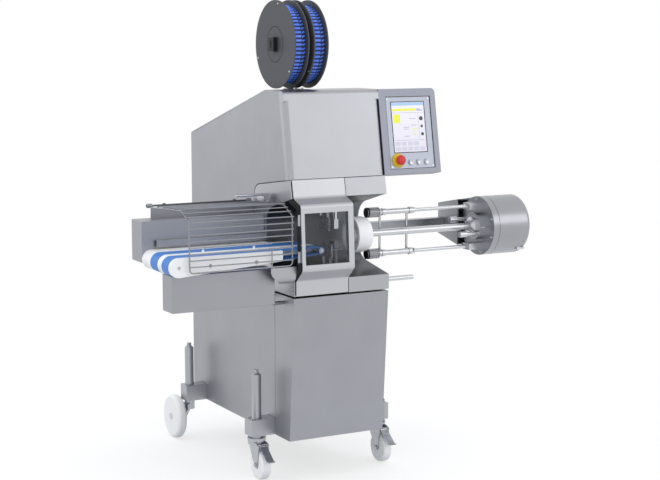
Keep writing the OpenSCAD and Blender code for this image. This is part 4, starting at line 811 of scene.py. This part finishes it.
# %% [markdown]
# ## Knob ends
# The fluted clamping knobs end in a black cap that hides the screw. It could be a second finish on the knob's end
# faces, but a real cap stands a little proud. So it is a turned plug with a rounded face.

# %% Knob ends
for name, z in (("up", 1106), ("low", 930)):
    bm = bmesh.new()
    lathe(bm, [(0, 0.6), (12, 0.5), (19.5, 0.2), (21.6, -1.6), (21.7, -9), (20.5, -9.4), (0, -9.4)],
          facing(173, 110, z, (-1, 0, 0)), 48)
    make_piece(bm, "knob_end_" + name, black_plastic, "knob_" + name)
print("knob ends ready")

# %% [markdown]
# ## Screws
# Screws are small, but they say how a machine is held together. A hexagon head is a six-sided prism
# with a chamfered crown on a washer; a socket head is turned, with a round socket. Threads would never be seen, so
# there are none.

# %% Screw helpers
def hex_screw(bm, place, across=13, height=6):
    """A hexagon head on a washer, along the Z axis of its place."""
    lathe(bm, [(across * 0.7, -0.3), (across * 0.7, 1.2), (across * 0.64, 1.6), (0, 1.6)], place, 24)
    part = bmesh.new()
    radius = across / math.sqrt(3) * MM
    bmesh.ops.create_cone(part, cap_ends=True, segments=6, radius1=radius, radius2=radius, depth=height * MM,
                          matrix=Matrix.Translation((0, 0, (1.4 + height / 2) * MM)))
    top = [e for e in part.edges if all(v.co.z > height * MM for v in e.verts)]
    bmesh.ops.bevel(part, geom=top, offset=0.08 * across * MM, offset_type="OFFSET", affect="EDGES", segments=2,
                    profile=0.5, material=-1)
    join(bm, part, place)


def socket_screw(bm, place, head=10, height=5):
    """A turned cap with a socket, along the Z axis of its place."""
    r = head / 2
    lathe(bm, [(r, -0.3), (r, height - 0.8), (r - 0.8, height), (r * 0.55, height), (r * 0.5, height - 0.3),
               (r * 0.45, height - 2.5), (0, height - 2.8)], place, 20)


print("screw helpers ready")

# %% [markdown]
# Three socket screws hold the front edge of the left throat cover and two hexagon screws the reel foot. The
# drum's end plate, the rear panel and the front beam have theirs. All of them share one piece, because they
# are of one finish and none of them moves.

# %% Screws on the machine
DRUM_Y, DRUM_Z, DRUM_SCREWS = 110, 1018, 116
bm = bmesh.new()
for z in (813, 831, 849):
    socket_screw(bm, facing(-222, 14, z, (-1, 0, 0)), 8, 4)
for x in (-131, -93):
    hex_screw(bm, facing(x, 176, 1629, (0, 0, 1)), 8, 4)
for angle in (86, 160, 200, 254, 300):
    y = DRUM_Y + DRUM_SCREWS * math.cos(math.radians(angle))
    z = DRUM_Z + DRUM_SCREWS * math.sin(math.radians(angle))
    hex_screw(bm, facing(739, y, z, (-1, 0, 0)), 10, 5)
for x in (-205, 205):
    for z in (205, 500, 795, 1090, 1385):
        socket_screw(bm, facing(x, 1035, z, (0, 1, 0)), 9, 3.5)
for x in (-322, 322):
    for y in (200, 236):
        socket_screw(bm, facing(x, y, 253, (0, 0, 1)), 9, 4)
make_piece(bm, "machine_screws", bright_steel, "machine")
print("screws ready")

# %% [markdown]
# ## Head corners
# The head's front bends over into the roof, and at both ends of the bend a small plate is welded in, ground
# flush and rounded like the bend. A box would stick out at the bend, so each plate is an outline in the leaning
# frame of the head that is extruded by the sheet's thickness.

# %% Head corners
CORNER_X, CORNER_SHEET = 221.8, 2.6
corner = [(3, 316), (40.3, 316), (40.3, 363.5), (20, 360), (11, 356.5), (5.5, 350), (3, 341)]
bm = bmesh.new()
for side in (-1, 1):
    part = bmesh.new()
    outline = part.faces.new([part.verts.new(Vector((side * CORNER_X, y, z)) * MM) for y, z in corner])
    made = bmesh.ops.extrude_face_region(part, geom=[outline])["geom"]
    inner = [g for g in made if isinstance(g, bmesh.types.BMVert)]
    bmesh.ops.translate(part, vec=(-side * CORNER_SHEET * MM, 0, 0), verts=inner)
    join(bm, part, FACE)
make_piece(bm, "head_corners", satin_steel, "machine")
print("head corners ready")

# %% [markdown]
# ## Throat chin
# Under the right end of the wire guard a bent sheet closes the corner between belt and hood. Its lower left
# corner is cut off. It could be a bevelled box, but then the bend has no even wall. So the bend is one polyline that is
# drawn out along the belt and then thickened.

# %% Throat chin
CHIN_LENGTH, CHIN_SHEET = 0.116, 0.002  # metres
CUT_HEIGHT, CUT_SLOPE = 0.895, 1.2
bm = bmesh.new()
chin_line = [(-20, 924), (-20, 904), (-17, 888), (-10, 873), (0, 862), (10, 853)]
row = [bm.verts.new(at(-222, y, z)) for y, z in chin_line]
bend = [bm.edges.new(pair) for pair in zip(row, row[1:])]
far = [g for g in bmesh.ops.extrude_edge_only(bm, edges=bend)["geom"] if isinstance(g, bmesh.types.BMVert)]
for v in far:
    v.co.x -= CHIN_LENGTH - CUT_SLOPE * max(0, CUT_HEIGHT - v.co.z)
bmesh.ops.recalc_face_normals(bm, faces=bm.faces)
bmesh.ops.solidify(bm, geom=bm.faces[:], thickness=CHIN_SHEET)
make_piece(bm, "throat_chin", satin_steel, "machine")
print("chin ready")

# %% [markdown]
# ## Drum latch
# The toggle latch that closes the drum is a bracket, a lever and a hook, all bent from strip. Its bends are smaller
# than a millimetre, so bevelled blocks set on the drum's skin are enough at its size.

# %% Drum latch
LATCH_TURN = math.radians(140)
bm = bmesh.new()
turn = MACHINE @ Matrix.Translation(Vector((0, DRUM_Y, DRUM_Z)) * MM) @ Matrix.Rotation(LATCH_TURN, 4, "X")
block(bm, (884, -9, 128), (910, 9, 132), 1.0, turn)
block(bm, (888, -6, 131), (928, 6, 136), 1.5, turn)
block(bm, (921, -4, 118), (927, 4, 134), 1.2, turn)
make_piece(bm, "drum_latch", bright_steel, "machine")
print("latch ready")

# %% [markdown]
# ## Casters
# Each caster has a cap on both ends of its axle, a hub ring in its wheel and a rubber pad on its brake
# pedal. The rear wheels turn on a stub axle that ends in a turned cap. The two sides could be mirrored copies, but each
# piece rides on its own body, so a loop over the sides makes them one by one.

# %% Casters
CASTER_X, CASTER_Y, CASTER_Z = 292, 178, 62.5
REAR_X, REAR_Y, REAR_Z = 366, 974, 100
for side, k in (("left", -1), ("right", 1)):
    bm = bmesh.new()
    for out in (-1, 1):
        place = facing(k * CASTER_X + out * 26, CASTER_Y, CASTER_Z, (out, 0, 0))
        lathe(bm, [(9, -1), (9, 3.5), (7.5, 5.0), (0, 5.4)], place, 24)
    make_piece(bm, "caster_caps_" + side, zinc_steel, "fork_" + side)
    bm = bmesh.new()
    for out in (-1, 1):
        ring = [(46, -0.3), (46, 0.4), (44, 1.0), (20, 1.0), (18, 0.4), (18, -0.3)]
        lathe(bm, ring, facing(k * CASTER_X + out * 20, CASTER_Y, CASTER_Z, (out, 0, 0)), 40)
    make_piece(bm, "caster_hub_" + side, white_plastic, "castor_" + side)
    bm = bmesh.new()
    block(bm, (k * CASTER_X - 16, 76, 92.5), (k * CASTER_X + 16, 91, 97), 1.4)
    make_piece(bm, "pedal_pad_" + side, pedal_rubber, "pedal_" + side)
    bm = bmesh.new()
    lathe(bm, [(0, 0.6), (15, 0.6), (15, 2.4), (13, 3.8), (0, 4.2)], facing(k * REAR_X, REAR_Y, REAR_Z, (k, 0, 0)), 32)
    make_piece(bm, "axle_cap_" + side, bright_steel, "rear_post_" + side)
print("casters ready")

# %% [markdown]
# ## Pegs on the belts
# Two white pegs guide the product on the rail between the belts. They are turned, with a rounded top, so each is a
# spun profile like the screws.

# %% Pegs
bm = bmesh.new()
for x in (-585, -360):
    lathe(bm, [(5, 0), (5, 9), (4.4, 11), (2.6, 12.2), (0, 12.6)], facing(x, 90, 991.5, (0, 0, 1)), 20)
make_piece(bm, "guide_pegs", white_plastic, "machine")
print("pegs ready")
